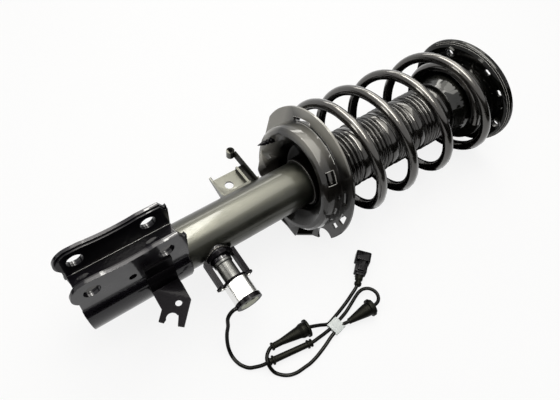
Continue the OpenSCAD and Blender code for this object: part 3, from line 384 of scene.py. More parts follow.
def paint_shade_on_step(material, start, end):
    """Takes the shine from a band along the strut, which is the step of the hose bracket, as painted
    shade.
    """
    tree = material.node_tree
    shader = tree.nodes["Principled BSDF"]
    where = tree.nodes.new("ShaderNodeTexCoord")
    parts = tree.nodes.new("ShaderNodeSeparateXYZ")
    tree.links.new(where.outputs["Object"], parts.inputs["Vector"])
    past = worked(tree, "GREATER_THAN", parts.outputs["X"], start)
    before = worked(tree, "LESS_THAN", parts.outputs["X"], end)
    inside = worked(tree, "MULTIPLY", past, before)
    for name in ("Coat Weight", "Specular IOR Level"):
        usual = shader.inputs[name].default_value
        tree.links.new(fade(tree, inside, 0, 1, usual, 0.02), shader.inputs[name])


# %% The finishes
# Tints of the shine: a little olive, warm or plum, as black paint has
OLIVE, WARM, PLUM = (1.0, 0.99, 0.82), (1.0, 0.93, 0.84), (0.93, 0.86, 1.0)
gloss_paint = finish(
    "gloss_paint", (0.0010, 0.0011, 0.0010), 0.40, coat=0.9, coat_rough=0.05, spec=0.06,
    shine=OLIVE, ripple=0.10, ripple_scale=260, tint=(0.0022, 0.0023, 0.0020), tint_scale=18,
)
deep_paint = finish(
    "deep_paint", (0.0008, 0.0009, 0.0007), 0.40, coat=0.35, coat_rough=0.05, spec=0.03,
    shine=OLIVE, ripple=0.10, ripple_scale=260, tint=(0.0018, 0.0018, 0.0015), tint_scale=18,
)
channel_paint = finish(
    "channel_paint", (0.0008, 0.0006, 0.0016), 0.40, coat=0.4, coat_rough=0.06, spec=0.03,
    shine=PLUM, ripple=0.12, ripple_scale=240, tint=(0.0018, 0.0014, 0.0030), tint_scale=22,
)
tube_paint = finish(
    "tube_paint", (0.0016, 0.0018, 0.0014), 0.38, coat=0.4, coat_rough=0.10, spec=0.60,
    shine=OLIVE, ripple=0.10, ripple_scale=160, tint=(0.0036, 0.0038, 0.0030), tint_scale=14,
)
bracket_paint = finish(
    "bracket_paint", (0.0010, 0.0008, 0.0016), 0.34, coat=0.75, coat_rough=0.08, spec=0.10,
    shine=PLUM, ripple=0.12, ripple_scale=240, tint=(0.0024, 0.0020, 0.0032), tint_scale=22,
)
seat_paint = finish(
    "seat_paint", (0.0014, 0.0012, 0.0010), 0.40, coat=0.9, coat_rough=0.08, spec=0.12,
    shine=WARM, ripple=0.14, ripple_scale=220, tint=(0.0030, 0.0025, 0.0021), tint_scale=22,
)
spring_paint = finish(
    "spring_paint", (0.0012, 0.0011, 0.0010), 0.26, coat=1.0, coat_rough=0.05, spec=0.55,
    shine=WARM, ripple=0.06, ripple_scale=300, tint=(0.0024, 0.0021, 0.0018), tint_scale=25,
)
dull_paint = finish(
    "dull_paint", (0.0012, 0.0010, 0.0014), 0.34, coat=0.03, spec=0.02, shine=PLUM, ripple=0.12,
    ripple_scale=240, tint=(0.0034, 0.0030, 0.0036), tint_scale=60,
)
weld_paint = finish(
    "weld_paint", (0.0016, 0.0014, 0.0012), 0.30, coat=0.4, coat_rough=0.10, spec=0.35,
    shine=WARM, ripple=0.35, ripple_scale=600, tint=(0.0034, 0.0030, 0.0026), tint_scale=90,
)
# Grey finish of thin lines that are painted highlights on edges
painted_edge_highlight = finish("painted_edge_highlight", (0.42, 0.41, 0.39), 0.30, coat=0.5, spec=0.5)
hose_paint = finish(
    "hose_paint", (0.0100, 0.0100, 0.0090), 0.38, coat=0.4, coat_rough=0.10, spec=0.60,
    shine=OLIVE, ripple=0.10, ripple_scale=160, tint=(0.0160, 0.0160, 0.0140), tint_scale=30,
)
boot_rubber = finish(
    "boot_rubber", (0.0012, 0.0011, 0.0010), 0.24, coat=0.9, coat_rough=0.07, spec=0.30,
    shine=WARM, ripple=0.12, ripple_scale=180, tint=(0.0030, 0.0028, 0.0024), tint_scale=40,
)
soft_rubber = finish(
    "soft_rubber", (0.0020, 0.0020, 0.0017), 0.42, spec=0.06, shine=OLIVE, ripple=0.2,
    ripple_scale=900, tint=(0.0070, 0.0070, 0.0060), tint_scale=120,
)
cable_jacket = finish(
    "cable_jacket", (0.0014, 0.0014, 0.0012), 0.26, coat=0.12, coat_rough=0.06, spec=0.02,
    shine=OLIVE, ripple=0.08, ripple_scale=1200, tint=(0.0042, 0.0042, 0.0036), tint_scale=90,
)
moulded_plastic = finish(
    "moulded_plastic", (0.0016, 0.0014, 0.0018), 0.26, coat=0.10, spec=0.03, shine=PLUM,
    ripple=0.12, ripple_scale=1800, tint=(0.0050, 0.0045, 0.0055), tint_scale=150,
)
steel = finish(
    "machined_steel", (0.46, 0.46, 0.45), 0.32, metal=1.0, ripple=0.05, ripple_scale=500,
    tint=(0.56, 0.55, 0.53), tint_scale=60,
)
valve_steel = finish(
    "valve_steel", (0.050, 0.050, 0.050), 0.40, metal=1.0, ripple=0.08, ripple_scale=350,
    tint=(0.10, 0.10, 0.095), tint_scale=70,
)
chrome = finish("hard_chrome", (0.62, 0.63, 0.65), 0.08, metal=1.0, rough_spread=0.03)
plated_can = finish(
    "plated_can", (0.80, 0.80, 0.79), 0.24, metal=1.0, ripple=0.05, ripple_scale=120,
    tint=(0.90, 0.90, 0.88), tint_scale=45, stretch=(1, 0.2, 1),
)
disc_steel = finish(
    "disc_steel", (0.40, 0.41, 0.37), 0.16, metal=1.0, shine=(0.50, 0.50, 0.45), ripple=0.05,
    ripple_scale=200,
)
foam = finish(
    "bump_foam", (0.62, 0.55, 0.36), 0.8, ripple=0.5, ripple_scale=1500, tint=(0.70, 0.63, 0.43),
    tint_scale=200,
)
cloth_tape = finish(
    "cloth_tape", (0.62, 0.66, 0.66), 0.75, ripple=0.5, ripple_scale=1400,
    tint=(0.72, 0.76, 0.75), tint_scale=160,
)
# Where the painted shade on the step of the hose bracket starts and ends, along the strut
STEP_START, STEP_END = 0.2095, 0.2182
paint_seat_shade_and_highlight(seat_paint)
paint_shade_on_step(hose_paint, STEP_START, STEP_END)
print("finishes made:", len(bpy.data.materials))

# %% [markdown]
# ## The lead of the valve
#
# A thin cable leaves the valve's cap, drops to the floor and lies there in loops that a
# strip of tape holds together. It is one piece of cable, so it is drawn as one smooth
# line through its resting points and swept with a round section.

# %% Cable
CABLE_R = 2.1
LIE_Z = FLOOR_Z / MM + CABLE_R + 0.1
# The cable's exit in the side of the valve's cap: along the valve, and beside its axis
GLAND_OUT, GLAND_BESIDE = 89.5, 16.4
drop = math.radians(VALVE_DROP)
gland_tip = Vector((
    VALVE_X - GLAND_BESIDE, -GLAND_OUT * math.cos(drop), AXIS_Z / MM - GLAND_OUT * math.sin(drop),
))
FROM_GLAND = [
    (0, 0, 0), (-2.2, 0, 0), (-5.1, -0.3, -0.9), (-7.7, -0.8, -2.9), (-9.6, -1.3, -5.9),
    (-10.7, -1.8, -9.6), (-11.2, -2.6, -14.5),
]
CABLE_ROUTE = [
    (101.7, -93.2, 36), (99.2, -95.2, 26), (97.2, -98.2, 17.2), (95.7, -102.1, 9.3),
    (94.8, -106.8, 3.6), (94.5, -113, 0.5), (95.2, -119.8, 0), (97.6, -126.8, 0),
    (102.5, -133.5, 0.5), (108.5, -137, 1.5), (115.5, -140, 3), (123.5, -141.5, 4),
    (136.5, -143.8, 4), (149.5, -146, 4), (162.5, -148.3, 4), (175.5, -150.5, 4), (184, -150.5, 4),
    (194.5, -150, 3), (206.5, -149, 3), (217.5, -147, 3), (230, -144, 3), (242, -139.5, 3.5),
    (252, -135.5, 4), (259.5, -133.2, 4.5), (266, -133.4, 5), (271.5, -136.5, 5.6),
    (274.6, -142, 6.3), (274.6, -148, 7.3), (271.5, -153.5, 8.2), (266, -156.7, 8.9),
    (257.5, -157, 9.2), (246.7, -156.3, 8), (235.8, -155.7, 6.8), (225, -155, 5.6),
    (217.5, -153.5, 3.5), (207.5, -155, 3), (198.5, -157, 2), (190, -160, 1), (180.5, -163, 0),
    (169, -166, 0), (158, -167.5, 0), (146.5, -167.5, 0), (136.5, -165.5, 0), (129, -161, 0),
    (123.5, -154.5, 0), (121, -148.5, 4), (120.5, -143, 9), (122.5, -138, 10), (127, -133.5, 9.5),
    (134, -130.5, 9), (145.6, -131.8, 9.1), (157.3, -133, 9.2), (168.9, -134.3, 9.3),
    (180.5, -135.5, 9.4), (187.5, -137.5, 8), (195.5, -140, 5), (201.5, -142.5, 3.2),
    (206, -143.5, 3), (216.5, -141, 3), (229.5, -137.5, 3), (241, -134, 3.5), (252, -130, 4),
    (259, -127.5, 5), (265.5, -124, 5.5),
]
cable_marks = [(gland_tip + Vector(p)) * MM for p in FROM_GLAND]
cable_marks += [Vector((x, y, LIE_Z + h)) * MM for x, y, h in CABLE_ROUTE]
# The smooth line swings a little past its points, so it is kept off the floor and in the box
CABLE_SIDE = -0.16735
cable_line = [
    Vector((p.x, max(p.y, CABLE_SIDE), max(p.z, LIE_Z * MM))) for p in through(cable_marks, 5)
]
cable_mesh = swept("lead", cable_line, CABLE_R * MM, 5)
cable = mesh_piece("lead", cable_mesh, "strut", cable_jacket)
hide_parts("valve_cable")

# %% [markdown]
# ### Rubber parts on the lead
#
# A sleeve, two funnel grommets and a strain relief sit on the cable. Each is a turned
# shape on a straight stretch of it. The profile is drawn with hard corners, and the
# helper rounds them as a mould does.

# %% Sleeve, grommets and strain relief
def along(a, b):
    """A frame whose origin is a and whose z axis points to b."""
    return Matrix.Translation(a) @ (b - a).to_track_quat("Z", "Y").to_matrix().to_4x4()


def mark(i):
    """A point of the cable's route."""
    return cable_marks[len(FROM_GLAND) + i]


def on_cable(name, node, a, b, profile):
    """A turned rubber part whose axis runs from a to b."""
    turned = spun(rounded(profile, 0.6), 48)
    piece = piece_from(name, turned, "strut", soft_rubber, at=along(a, b))
    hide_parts(node)
    return piece


sleeve_l = (mark(15) - mark(11)).length / MM
sleeve = on_cable("sleeve", "cable_sleeve", mark(11), mark(15), [
    (0, 0), (4.4, 0), (4.4, 2), (3.4, 2), (3.4, 4), (5.4, 4), (5.4, 6), (3.9, 6.4), (3.7, 10),
    (3.5, sleeve_l - 10), (3.4, sleeve_l - 6), (5, sleeve_l - 6), (5, sleeve_l - 4),
    (3.6, sleeve_l - 4), (3.6, sleeve_l - 2), (4.6, sleeve_l - 2), (4.6, sleeve_l), (0, sleeve_l),
])
grommet_l = (mark(53) - mark(49)).length / MM
grommet = on_cable("funnel_grommet", "cable_grommet", mark(49), mark(53), [
    (0, 0), (4.6, 0), (4.6, 2), (3.5, 2.8), (3.8, 12), (4.6, 18), (7, grommet_l - 12),
    (8.5, grommet_l - 8.5), (8.6, grommet_l - 5), (7.6, grommet_l - 4.8), (7.6, grommet_l - 3.2),
    (10.4, grommet_l - 3), (10.4, grommet_l), (0, grommet_l),
])
funnel_l = (mark(30) - mark(33)).length / MM
funnel = on_cable("wide_grommet", "cable_boot", mark(33), mark(30), [
    (0, 0), (3.4, 0), (3.6, 3), (4.2, 6), (7.6, funnel_l - 9), (8, funnel_l - 4.2),
    (10.4, funnel_l - 4), (10.4, funnel_l), (8.6, funnel_l), (8.6, funnel_l + 2), (0, funnel_l + 2),
])
PLUG_TURN = 40
plug_at = Matrix.Translation(cable_marks[-1]) @ Matrix.Rotation(math.radians(PLUG_TURN), 4, "Z")
z_to_x = Matrix.Rotation(math.radians(90), 4, "Y")
relief_bm = spun(rounded([
    (0, -4), (3.2, -4), (4.3, -2.4), (4.4, 0.5), (3.3, 1.3), (3.3, 2.8), (4.6, 4.2), (4.9, 9), (0, 9),
], 0.5), 40)
relief = piece_from("strain_relief", relief_bm, "strut", soft_rubber, at=plug_at @ z_to_x)
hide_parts("cable_clip")

# %% [markdown]
# ### The tape
#
# The band of cloth tape holds three strands side by side. Its section is a flat oval, so
# a circle is stretched, extruded in short steps and then pressed in a little at random,
# as tape wraps itself over what lies under it.

# %% Tape band
def tape_band(length, half_height, half_width, steps=10):
    """A flat tube along z, pressed in where the tape lies on the strands."""
    bm = bmesh.new()
    ring = bmesh.ops.create_circle(bm, cap_ends=False, segments=48, radius=1)["verts"]
    for v in ring:
        flat = 1 - 0.35 * abs(v.co.x) ** 3
        v.co.x *= half_height * MM
        v.co.y = math.copysign(abs(v.co.y) ** 0.6, v.co.y) * half_width * flat / 0.95 * MM
    edges = list({e for v in ring for e in v.link_edges})
    bm.faces.new(ring)
    for _ in range(steps):
        out = bmesh.ops.extrude_edge_only(bm, edges=edges)["geom"]
        new = [g for g in out if isinstance(g, bmesh.types.BMVert)]
        edges = [g for g in out if isinstance(g, bmesh.types.BMEdge)]
        bmesh.ops.translate(bm, vec=(0, 0, length / steps), verts=new)
    bmesh.ops.holes_fill(bm, edges=edges, sides=60)
    for v in bm.verts:
        fold = noise.noise(v.co * 420) * 0.12
        fold += noise.noise(Vector((v.co.z * 900, v.co.y * 60, 3))) * 0.1
        v.co.x -= math.copysign(abs(fold) * MM, v.co.x) if abs(v.co.x) > 1e-5 else 0
    return bm


tape_a = Vector((203.2, -150.8, LIE_Z + 3)) * MM
tape_b = Vector((217.5, -148.2, LIE_Z + 3)) * MM
tape_z = (tape_b - tape_a).normalized()
tape_x = Vector((0, 0, 1))
tape_turn = Matrix((tape_x, tape_z.cross(tape_x), tape_z)).transposed().to_4x4()
tape_bm = tape_band((tape_b - tape_a).length, half_height=3.0, half_width=8.7)
tape = piece_from("tape_band", tape_bm, "strut", cloth_tape,
                  at=Matrix.Translation(tape_a) @ tape_turn)
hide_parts("cable_tape")

# %% [markdown]
# ### The connector
#
# The lead ends in a small sealed connector: a ribbed body with a lock on top and a wider
# socket. The blocks start as cubes. Their edges are bevelled, the socket's open face is
# inset and pushed in, and thin ribs give the grip.

# %% Connector
def block(bm, low, high, soft=0.5, segments=3):
    """A box between two corners in millimetres, with rounded edges."""
    made = bmesh.ops.create_cube(bm, size=1)["verts"]
    low, high = Vector(low) * MM, Vector(high) * MM
    size = high - low
    bmesh.ops.scale(bm, vec=size, verts=made)
    bmesh.ops.translate(bm, vec=(low + high) / 2, verts=made)
    edges = list({e for v in made for e in v.link_edges})
    bmesh.ops.bevel(bm, geom=edges, offset=soft * MM, affect="EDGES", segments=segments,
                    profile=0.5, material=-1, clamp_overlap=True)


body_bm = bmesh.new()
block(body_bm, (9, -5.2, -5), (13.5, 5.2, 5), 0.8)
block(body_bm, (12.5, -7.2, -5.9), (28, 7.2, 5.9), 0.9)
block(body_bm, (14, -4.2, 5.2), (28, 4.2, 8.2), 0.5)
block(body_bm, (14.5, -1.8, 7.6), (20, 1.8, 8.4), 0.3)
RIBS, RIB_PITCH = 4, 3
for i in range(RIBS):
    for side in (-1, 1):
        x, y = 15 + RIB_PITCH * i, side * 7.2
        block(body_bm, (x, y - 0.35, -4.5), (x + 1.2, y + 0.1 * (1 - side), 4.5), 0.15, 2)
connector = piece_from("connector_body_shell", body_bm, "strut", moulded_plastic,
                       at=plug_at)
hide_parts("connector_body")

# %% Socket of the connector
SOCKET_SIZE, SOCKET_MIDDLE = Vector((12, 18.4, 15.8)), Vector((34, 0, 1))
SOCKET_WALL, SOCKET_DEPTH = 1.5, 9
socket_bm = bmesh.new()
made = bmesh.ops.create_cube(socket_bm, size=1)["verts"]
bmesh.ops.scale(socket_bm, vec=SOCKET_SIZE * MM, verts=made)
bmesh.ops.translate(socket_bm, vec=SOCKET_MIDDLE * MM, verts=made)
lengthways = [
    e for e in socket_bm.edges if abs((e.verts[0].co - e.verts[1].co).normalized().x) > 0.9
]
bmesh.ops.bevel(socket_bm, geom=lengthways, offset=2.6 * MM, affect="EDGES", segments=5,
                profile=0.5, material=-1)
mouth = max(socket_bm.faces, key=lambda f: f.calc_center_median().x)
bmesh.ops.inset_region(socket_bm, faces=[mouth], thickness=SOCKET_WALL * MM, use_even_offset=True)
pushed = bmesh.ops.extrude_face_region(socket_bm, geom=[mouth])["geom"]
bmesh.ops.delete(socket_bm, geom=[mouth], context="FACES")
bottom = [g for g in pushed if isinstance(g, bmesh.types.BMVert)]
bmesh.ops.translate(socket_bm, vec=(-SOCKET_DEPTH * MM, 0, 0), verts=bottom)
rim = [e for e in socket_bm.edges if len(e.link_faces) == 2 and e.calc_face_angle(0) > 0.9]
bmesh.ops.bevel(socket_bm, geom=rim, offset=0.35 * MM, affect="EDGES", segments=2,
                profile=0.5, material=-1)
socket = piece_from("connector_socket", socket_bm, "strut", moulded_plastic, at=plug_at)
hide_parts("connector_collar")

# %% [markdown]
# ## The coil spring
#
# The spring is a steel bar wound hot, with a drawn in coil at each end that sits on a
# pad. Its middle line is a formula, and the bar is swept along it with enough sides to
# look round. It is drawn at rest.

# %% Coil spring
WIRE_R = 6.3
# The wire's middle at its first turn's end and at its last, and how the coils open between
PITCH_START, PITCH, GROWTH = 36, 41.5, 4.6
LOW_REST = WIRE_R + 10.1 - 22.5
HIGH_REST = PLATE_X - 14 - 2.5 - 0.3 - WIRE_R
# Radius of the open coils, which narrows by a millimetre a turn, and of the two end coils
OPEN_R, LOW_R, HIGH_R = 72.25, 55.5, 51
# How far the coils' middle lies off the axis: low end coil and first open coil
LOW_OFF, OPEN_OFF = (5.8, 3.7), (2.8, 7.9)
START_ANGLE = 9
FIRST_TURN, LAST_TURN, WIRE_STEPS = -1.85, 4.45, 400


def ease(t):
    """Goes from 0 to 1 with a soft start and a soft end."""
    t = min(1, max(0, t))
    return t * t * (3 - 2 * t)


def mix(a, b, t):
    """Goes from a to b while t goes from 0 to 1."""
    return a + (b - a) * t


def coil_point(n):
    """Middle of the wire after n turns; below 0 it is the end coil on the lower seat."""
    open_r = OPEN_R - max(n, 0)
    if n < 0:
        r = mix(LOW_R, open_r, ease((n + 0.8) / 0.85))
        s = ease((n + 1.2) / 1.2)
        cx, cy = mix(LOW_OFF[0], OPEN_OFF[0], s), mix(LOW_OFF[1], OPEN_OFF[1], s)
    else:
        r = mix(open_r, HIGH_R, ease((n - 3.76) / 0.4))
        s = ease((n - 3.7) / 0.4)
        cx, cy = mix(OPEN_OFF[0] - 1.1 * n, 0, s), mix(OPEN_OFF[1], 0, s)
    a = math.radians(START_ANGLE + 360 * n)
    x, y = r * math.cos(a) + cx, r * math.sin(a) + cy
    if n < 0:
        z = SEAT_X + math.tan(math.radians(SEAT_TILT)) * y * (1 - ease((n + 0.4) / 0.4))
        z += mix(LOW_REST, PITCH_START, max(0, (n + 1.4) / 1.4) ** 1.15)
    else:
        m = min(n, 3.8)
        rise = SEAT_X + PITCH_START + PITCH * m + GROWTH * m * m
        z = mix(rise, HIGH_REST, ease((n - 3.35) / 0.45))
    return on_strut @ (Vector((x, y, z)) * MM)


turns = [FIRST_TURN + (LAST_TURN - FIRST_TURN) * i / WIRE_STEPS for i in range(WIRE_STEPS + 1)]
wire_line = [coil_point(n) for n in turns]
# The wire touches the floor below and stays inside the box of the solids above
LOW_Z, HIGH_Z = FLOOR_Z + WIRE_R * MM, 0.03575 - WIRE_R * MM
wire_line = [Vector((p.x, p.y, min(max(p.z, LOW_Z), HIGH_Z))) for p in wire_line]
wire_mesh = swept("spring", wire_line, WIRE_R * MM, 6)
spring = mesh_piece("spring", wire_mesh, None, spring_paint, 50)
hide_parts("coil_spring")
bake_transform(spring)
print("length of the wire:", round(line_length(wire_line), 2), "m")

# %% [markdown]
# ## The dust boot
#
# The boot is blown rubber: groups of round folds with plain stretches between them, where
# it creases a little. Each fold is half a wave, so the valleys are sharp and the crests
# round. The wall has its own inner side, because its lower end is open round the tube.

# %% Dust boot
BOOT_R, BOOT_WALL, FOLD_DEPTH, FOLDS, GROUPS = 37.5, 1.6, 3.0, 5, 4
# The lower cuff lies round the tube, and the upper one goes into the boot's cup
CUFF_R, TOP_CUFF_R = 29.6, 34.9
BOOT_START, BOOT_TOP = 297.5, 492
FOLDS_START, FOLDS_END = BOOT_START + 6, 483
# Share of a group that is folded, and points on each wave
FOLDED, WAVE_POINTS = 0.66, 8
group_pitch = (FOLDS_END - FOLDS_START) / GROUPS


def boot_outline(wall):
    """The boot's side, drawn wall millimetres inside its outer face."""
    valley_r = BOOT_R - FOLD_DEPTH - wall
    side = [(CUFF_R - wall, BOOT_START - 8), (CUFF_R - wall, BOOT_START), (valley_r, BOOT_START + 4)]
    fold = group_pitch * FOLDED / FOLDS
    plain = group_pitch * (1 - FOLDED)
    for g in range(GROUPS):
        start = FOLDS_START + g * group_pitch
        for i in range(FOLDS):
            for k in range(WAVE_POINTS):
                u = k / WAVE_POINTS
                lift = math.sin(math.pi * u) ** 0.8
                side.append((BOOT_R - FOLD_DEPTH * (1 - lift) - wall, start + fold * (i + u)))
        side.append((valley_r, start + fold * FOLDS))
        for k in range(1, WAVE_POINTS):
            u = k / WAVE_POINTS
            lift = math.sin(math.pi * u) ** 0.5
            r = BOOT_R - FOLD_DEPTH * (1 - lift) - 0.5 * lift - wall
            side.append((r, start + fold * FOLDS + plain * u))
    top_r = TOP_CUFF_R - wall
    return side + [(top_r, FOLDS_START + GROUPS * group_pitch), (top_r, BOOT_TOP)]


boot_bm = spun(boot_outline(0) + boot_outline(BOOT_WALL)[::-1], 128, closed=True)
# Shallow dents, mostly inwards, as soft rubber has between its folds
for v in boot_bm.verts:
    radius = math.hypot(v.co.x, v.co.y)
    if BOOT_START + 8 < v.co.z / MM < BOOT_TOP - 14:
        dent = noise.noise(Vector((v.co.x * 40, v.co.y * 40, v.co.z * 75))) * 0.55
        dent += noise.noise(Vector((v.co.x * 110, v.co.y * 110, v.co.z * 160))) * 0.25
        scale = 1 + min(dent, 0.1) * MM / radius
        v.co.x *= scale
        v.co.y *= scale
boot = piece_from("boot", boot_bm, None, boot_rubber, at=on_strut, sharp=60)
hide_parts("dust_boot")
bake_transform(boot)

# %% [markdown]
# ## Pads
#
# The ends of the spring sit in rubber. The lower pad fills the pocket's floor and has a
# lip that keeps the wire in place, and the upper pad is a ring under the upper seat. The
# bush of the top mount and the foam bump stop on the rod are turned shapes too, but they
# keep their solids and only get a finish.

# %% Rubber pads
lower_pad_bm = spun(rounded([
    (45, -10.4), (57.5, -19.1), (60.5, -18.9), (60.5, -16.1), (57.5, -16.2), (51, -13.6),
    (47, -9.4), (45, -7.9),
], 0.6), 96, closed=True)
lower_pad = piece_from("lower_pad", lower_pad_bm, "strut", soft_rubber, at=on_seat)
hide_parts("lower_spring_pad")
upper_pad_bm = spun([
    (42.7, 519.6), (43.4, 519.5), (52.6, 519.5), (53.8, 520.2), (54, 521.9), (42.7, 521.9),
], 96, closed=True)
upper_pad = piece_from("upper_pad", upper_pad_bm, "seat", soft_rubber, at=on_strut)
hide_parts("upper_spring_pad")

# %% [markdown]
# ## Pressed and machined parts
#
# These keep the exact shape of their solids. Only their edges are rounded: wide where a
# thick sheet was bent or rolled, narrow where a face was turned on a lathe.

# %% Edges and finishes of the solids
# Node: finish, slot and the width of its edge in millimetres
PRESSED = {
    "knuckle_bracket": (bracket_paint, "black_paint", 0.9),
    "bracket_channel": (channel_paint, "black_paint", 0.7),
    "hose_bracket": (hose_paint, "black_paint", 0.4),
    "sensor_bracket": (dull_paint, "black_paint", 0.5),
    "lower_spring_seat": (seat_paint, "black_paint", 0.6),
    "upper_spring_seat": (gloss_paint, "black_paint", 0.6),
    "top_plate": (deep_paint, "black_paint", 0.8),
    "weld_nuts": (gloss_paint, "black_paint", 0.5),
    "strut_tube": (tube_paint, "black_paint", 0.6),
    "base_cap": (gloss_paint, "black_paint", 1.0),
    "valve_boss": (bracket_paint, "black_paint", 0.6),
    "valve_guard": (dull_paint, "black_paint", 0.5),
    "valve_flange": (dull_paint, "black_paint", 0.3),
    "valve_can": (plated_can, "bright_can", 0.6),
    "valve_cap": (moulded_plastic, "black_plastic", 0.6),
    "valve_body": (valve_steel, "steel", 0.4),
    "guard_screws": (steel, "steel", 0.3),
}
for node, (material, slot, width) in PRESSED.items():
    edged(node, material, width)

# These are dressed by their finish alone
PLAIN = {
    "valve_end_disc": disc_steel, "pad_push_pin": moulded_plastic, "base_valve": steel,
    "reservoir_tube": steel, "pressure_tube": steel, "rod_guide": steel, "rod_seal": soft_rubber,
    "bearing_lower_race": steel, "bearing_balls": chrome, "bearing_upper_race": steel,
    "mount_rubber": soft_rubber, "mount_sleeve": steel, "bump_stop_cup": gloss_paint, "bump_stop": foam,
    "piston_rod": chrome, "rebound_stop": soft_rubber, "piston": steel, "piston_band": moulded_plastic,
    "piston_nut": steel, "sleeve_washers": steel, "rod_nut": steel,
}
for node, material in PLAIN.items():
    for holder in nodes[node].material_slots:
        holder.material = material
print("edges rounded:", len(PRESSED), "finish only:", len(PLAIN))

# %% [markdown]
# ## Weld seams
#
# The bracket, the valve's boss and the spring seat are welded to the tube. A seam is a
# bead whose thickness swells and narrows in even ripples, so it is a swept section with
# a changing scale.

# %% Weld seams
def seam(name, points, radius, ripple=2.2):
    """A weld bead along points, with a ripple every few millimetres."""
    line = through(points, 4)
    run, swell = 0.0, [1.0]
    for a, b in zip(line, line[1:]):
        run += (b - a).length
        wave = 1 + 0.14 * math.sin(2 * math.pi * run / (ripple * MM))
        swell.append(wave + 0.08 * noise.noise(b * 300))
    mesh = swept(name, line, radius * MM, 3, swell)
    return mesh_piece(name, mesh, "strut", weld_paint, 60)


def round_point(frame_at, angle, radius, height):
    """A point at an angle in degrees round the axis of a frame, in metres."""
    a = math.radians(angle)
    return frame_at @ (Vector((radius * math.cos(a), radius * math.sin(a), height)) * MM)


seam("bracket_seam", [round_point(on_strut, a, 28.1, 98.4) for a in range(136, 406, 5)], 1.9)
seam("seat_seam", [round_point(on_strut, a, 28.2, 264.2) for a in range(0, 361, 5)], 1.3)
# Round the valve's boss: half its spread in degrees round the tube and in length along it
BOSS_SPREAD, BOSS_LONG = 27.2, 13.4
at_boss = []
for degrees in range(0, 361, 15):
    t = math.radians(degrees)
    angle = 180 + VALVE_DROP + BOSS_SPREAD * math.cos(t)
    at_boss.append(round_point(on_strut, angle, 28.6, VALVE_X + BOSS_LONG * math.sin(t)))
seam("valve_seam", at_boss, 1.7, 2.8)

# %% [markdown]
# ### Painted highlights on edges
#
# Thin bright lines are painted highlights where a cut or sharply folded edge catches the
# light, and a dark line beside the pocket's wall is painted shade in a groove. Such lines
# draw the strut: the fold along the reinforcing channel, the edges of the window and the
# slots in the spring seat, and the double edge of the top plate's rim.

# %% Painted highlights on edges
def edge_line(name, points, radius, body="strut", material=painted_edge_highlight):
    """A thin round line along points: a painted highlight in its usual finish, painted shade in a dark
    one.
    """
    return mesh_piece(name, swept(name, points, radius * MM, 3), body, material, 60)


FOLD_Y, FOLD_Z = 14.9, -50 + 31.3
# A painted highlight along the fold of the reinforcing channel
edge_line("channel_fold", [Vector((x, FOLD_Y, FOLD_Z)) * MM for x in (-8, 20, 50, 80, 98)], 0.35)

# The pocket's wall, which slopes inwards below its bend, and the window in it
WALL_R, WALL_BEND, WALL_SLOPE = 66.6, -12, 1.5 / 7
WINDOW_LEFT, WINDOW_RIGHT, WINDOW_TOP, WINDOW_FOOT = 128.1, 141.9, -5.7, -16.7


def wall_point(angle, height):
    """A point on the pocket's wall, at an angle and a height in the seat's frame."""
    return round_point(on_seat, angle, WALL_R - WALL_SLOPE * max(WALL_BEND - height, 0), height)


window = [wall_point(WINDOW_LEFT, z) for z in (WINDOW_FOOT, WALL_BEND, WINDOW_TOP)]
window += [wall_point(a, WINDOW_TOP) for a in (132, 136, WINDOW_RIGHT)]
window += [wall_point(WINDOW_RIGHT, z) for z in (WALL_BEND, WINDOW_FOOT)]
# A painted highlight round the edge of the window
edge_line("window_edge", window, 0.4)

# Two painted highlights along edges, and the dark line of painted shade in the groove beside
# the wall: name, distance from the seat's axis, height, first and last angle, radius and finish
for name, radius, height, low, high, width, material in (
    ("wall_edge", 66.9, -1.4, 60, 126, 0.4, painted_edge_highlight),
    ("wall_groove_shade", 68.3, -0.1, 80, 126, 1.2, deep_paint),
    ("slot_edge", 72.1, -0.1, 54, 78, 0.3, painted_edge_highlight),
):
    line = [round_point(on_seat, a, radius, height) for a in range(low, high + 1, 4)]
    edge_line(name, line, width, material=material)

# The double bright line on the top plate's rim is a painted highlight
for name, inward, height in (("rim_line_outer", 0.9, 4.4), ("rim_line_inner", 2.7, 2.8)):
    line = [round_point(on_plate, a, PLATE_R - inward, height) for a in range(40, 217, 8)]
    edge_line(name, line, 0.22, body_of_node["top_plate"])

# %% [markdown]
# ## Floor, world and lamps
#
# The strut lies on a plain white floor under a white sky. The lamps are soft and plain, so
# a colour looks about as it is written. What a camera or a mirror sees of the floor and
# the sky is nearly white, and the floor still takes the strut's shadow.

# %% Helpers for the stage
def shows_background(tree):
    """A socket that is 1 for a ray that is seen, mirrored or passed through glass."""
    rays = tree.nodes.new("ShaderNodeLightPath")
    seen_or_mirrored = worked(
        tree, "MAXIMUM", rays.outputs["Is Camera Ray"], rays.outputs["Is Glossy Ray"]
    )
    return worked(tree, "MAXIMUM", seen_or_mirrored, rays.outputs["Is Transmission Ray"])


def stage_piece(name, bm, material):
    """A thing that belongs to the stage and not to the strut."""
    mesh = bpy.data.meshes.new(name)
    bm.to_mesh(mesh)
    bm.free()
    mesh.materials.append(material)
    piece = bpy.data.objects.new(name, mesh)
    bpy.context.scene.collection.objects.link(piece)
    return piece


def facing(place, target):
    """The place of a lamp or a board that faces the target."""
    here, there = Vector(place), Vector(target)
    return Matrix.Translation(here) @ (here - there).to_track_quat("Z", "Y").to_matrix().to_4x4()


# %% Floor
floor_white = bpy.data.materials.new("floor_white")
floor_white.use_nodes = True
tree = floor_white.node_tree
paper = tree.nodes["Principled BSDF"]
paper.inputs["Base Color"].default_value = (0.92, 0.92, 0.92, 1)
paper.inputs["Roughness"].default_value = 0.9
paper.inputs["Specular IOR Level"].default_value = 0
glow = tree.nodes.new("ShaderNodeEmission")
glow.inputs["Strength"].default_value = 1
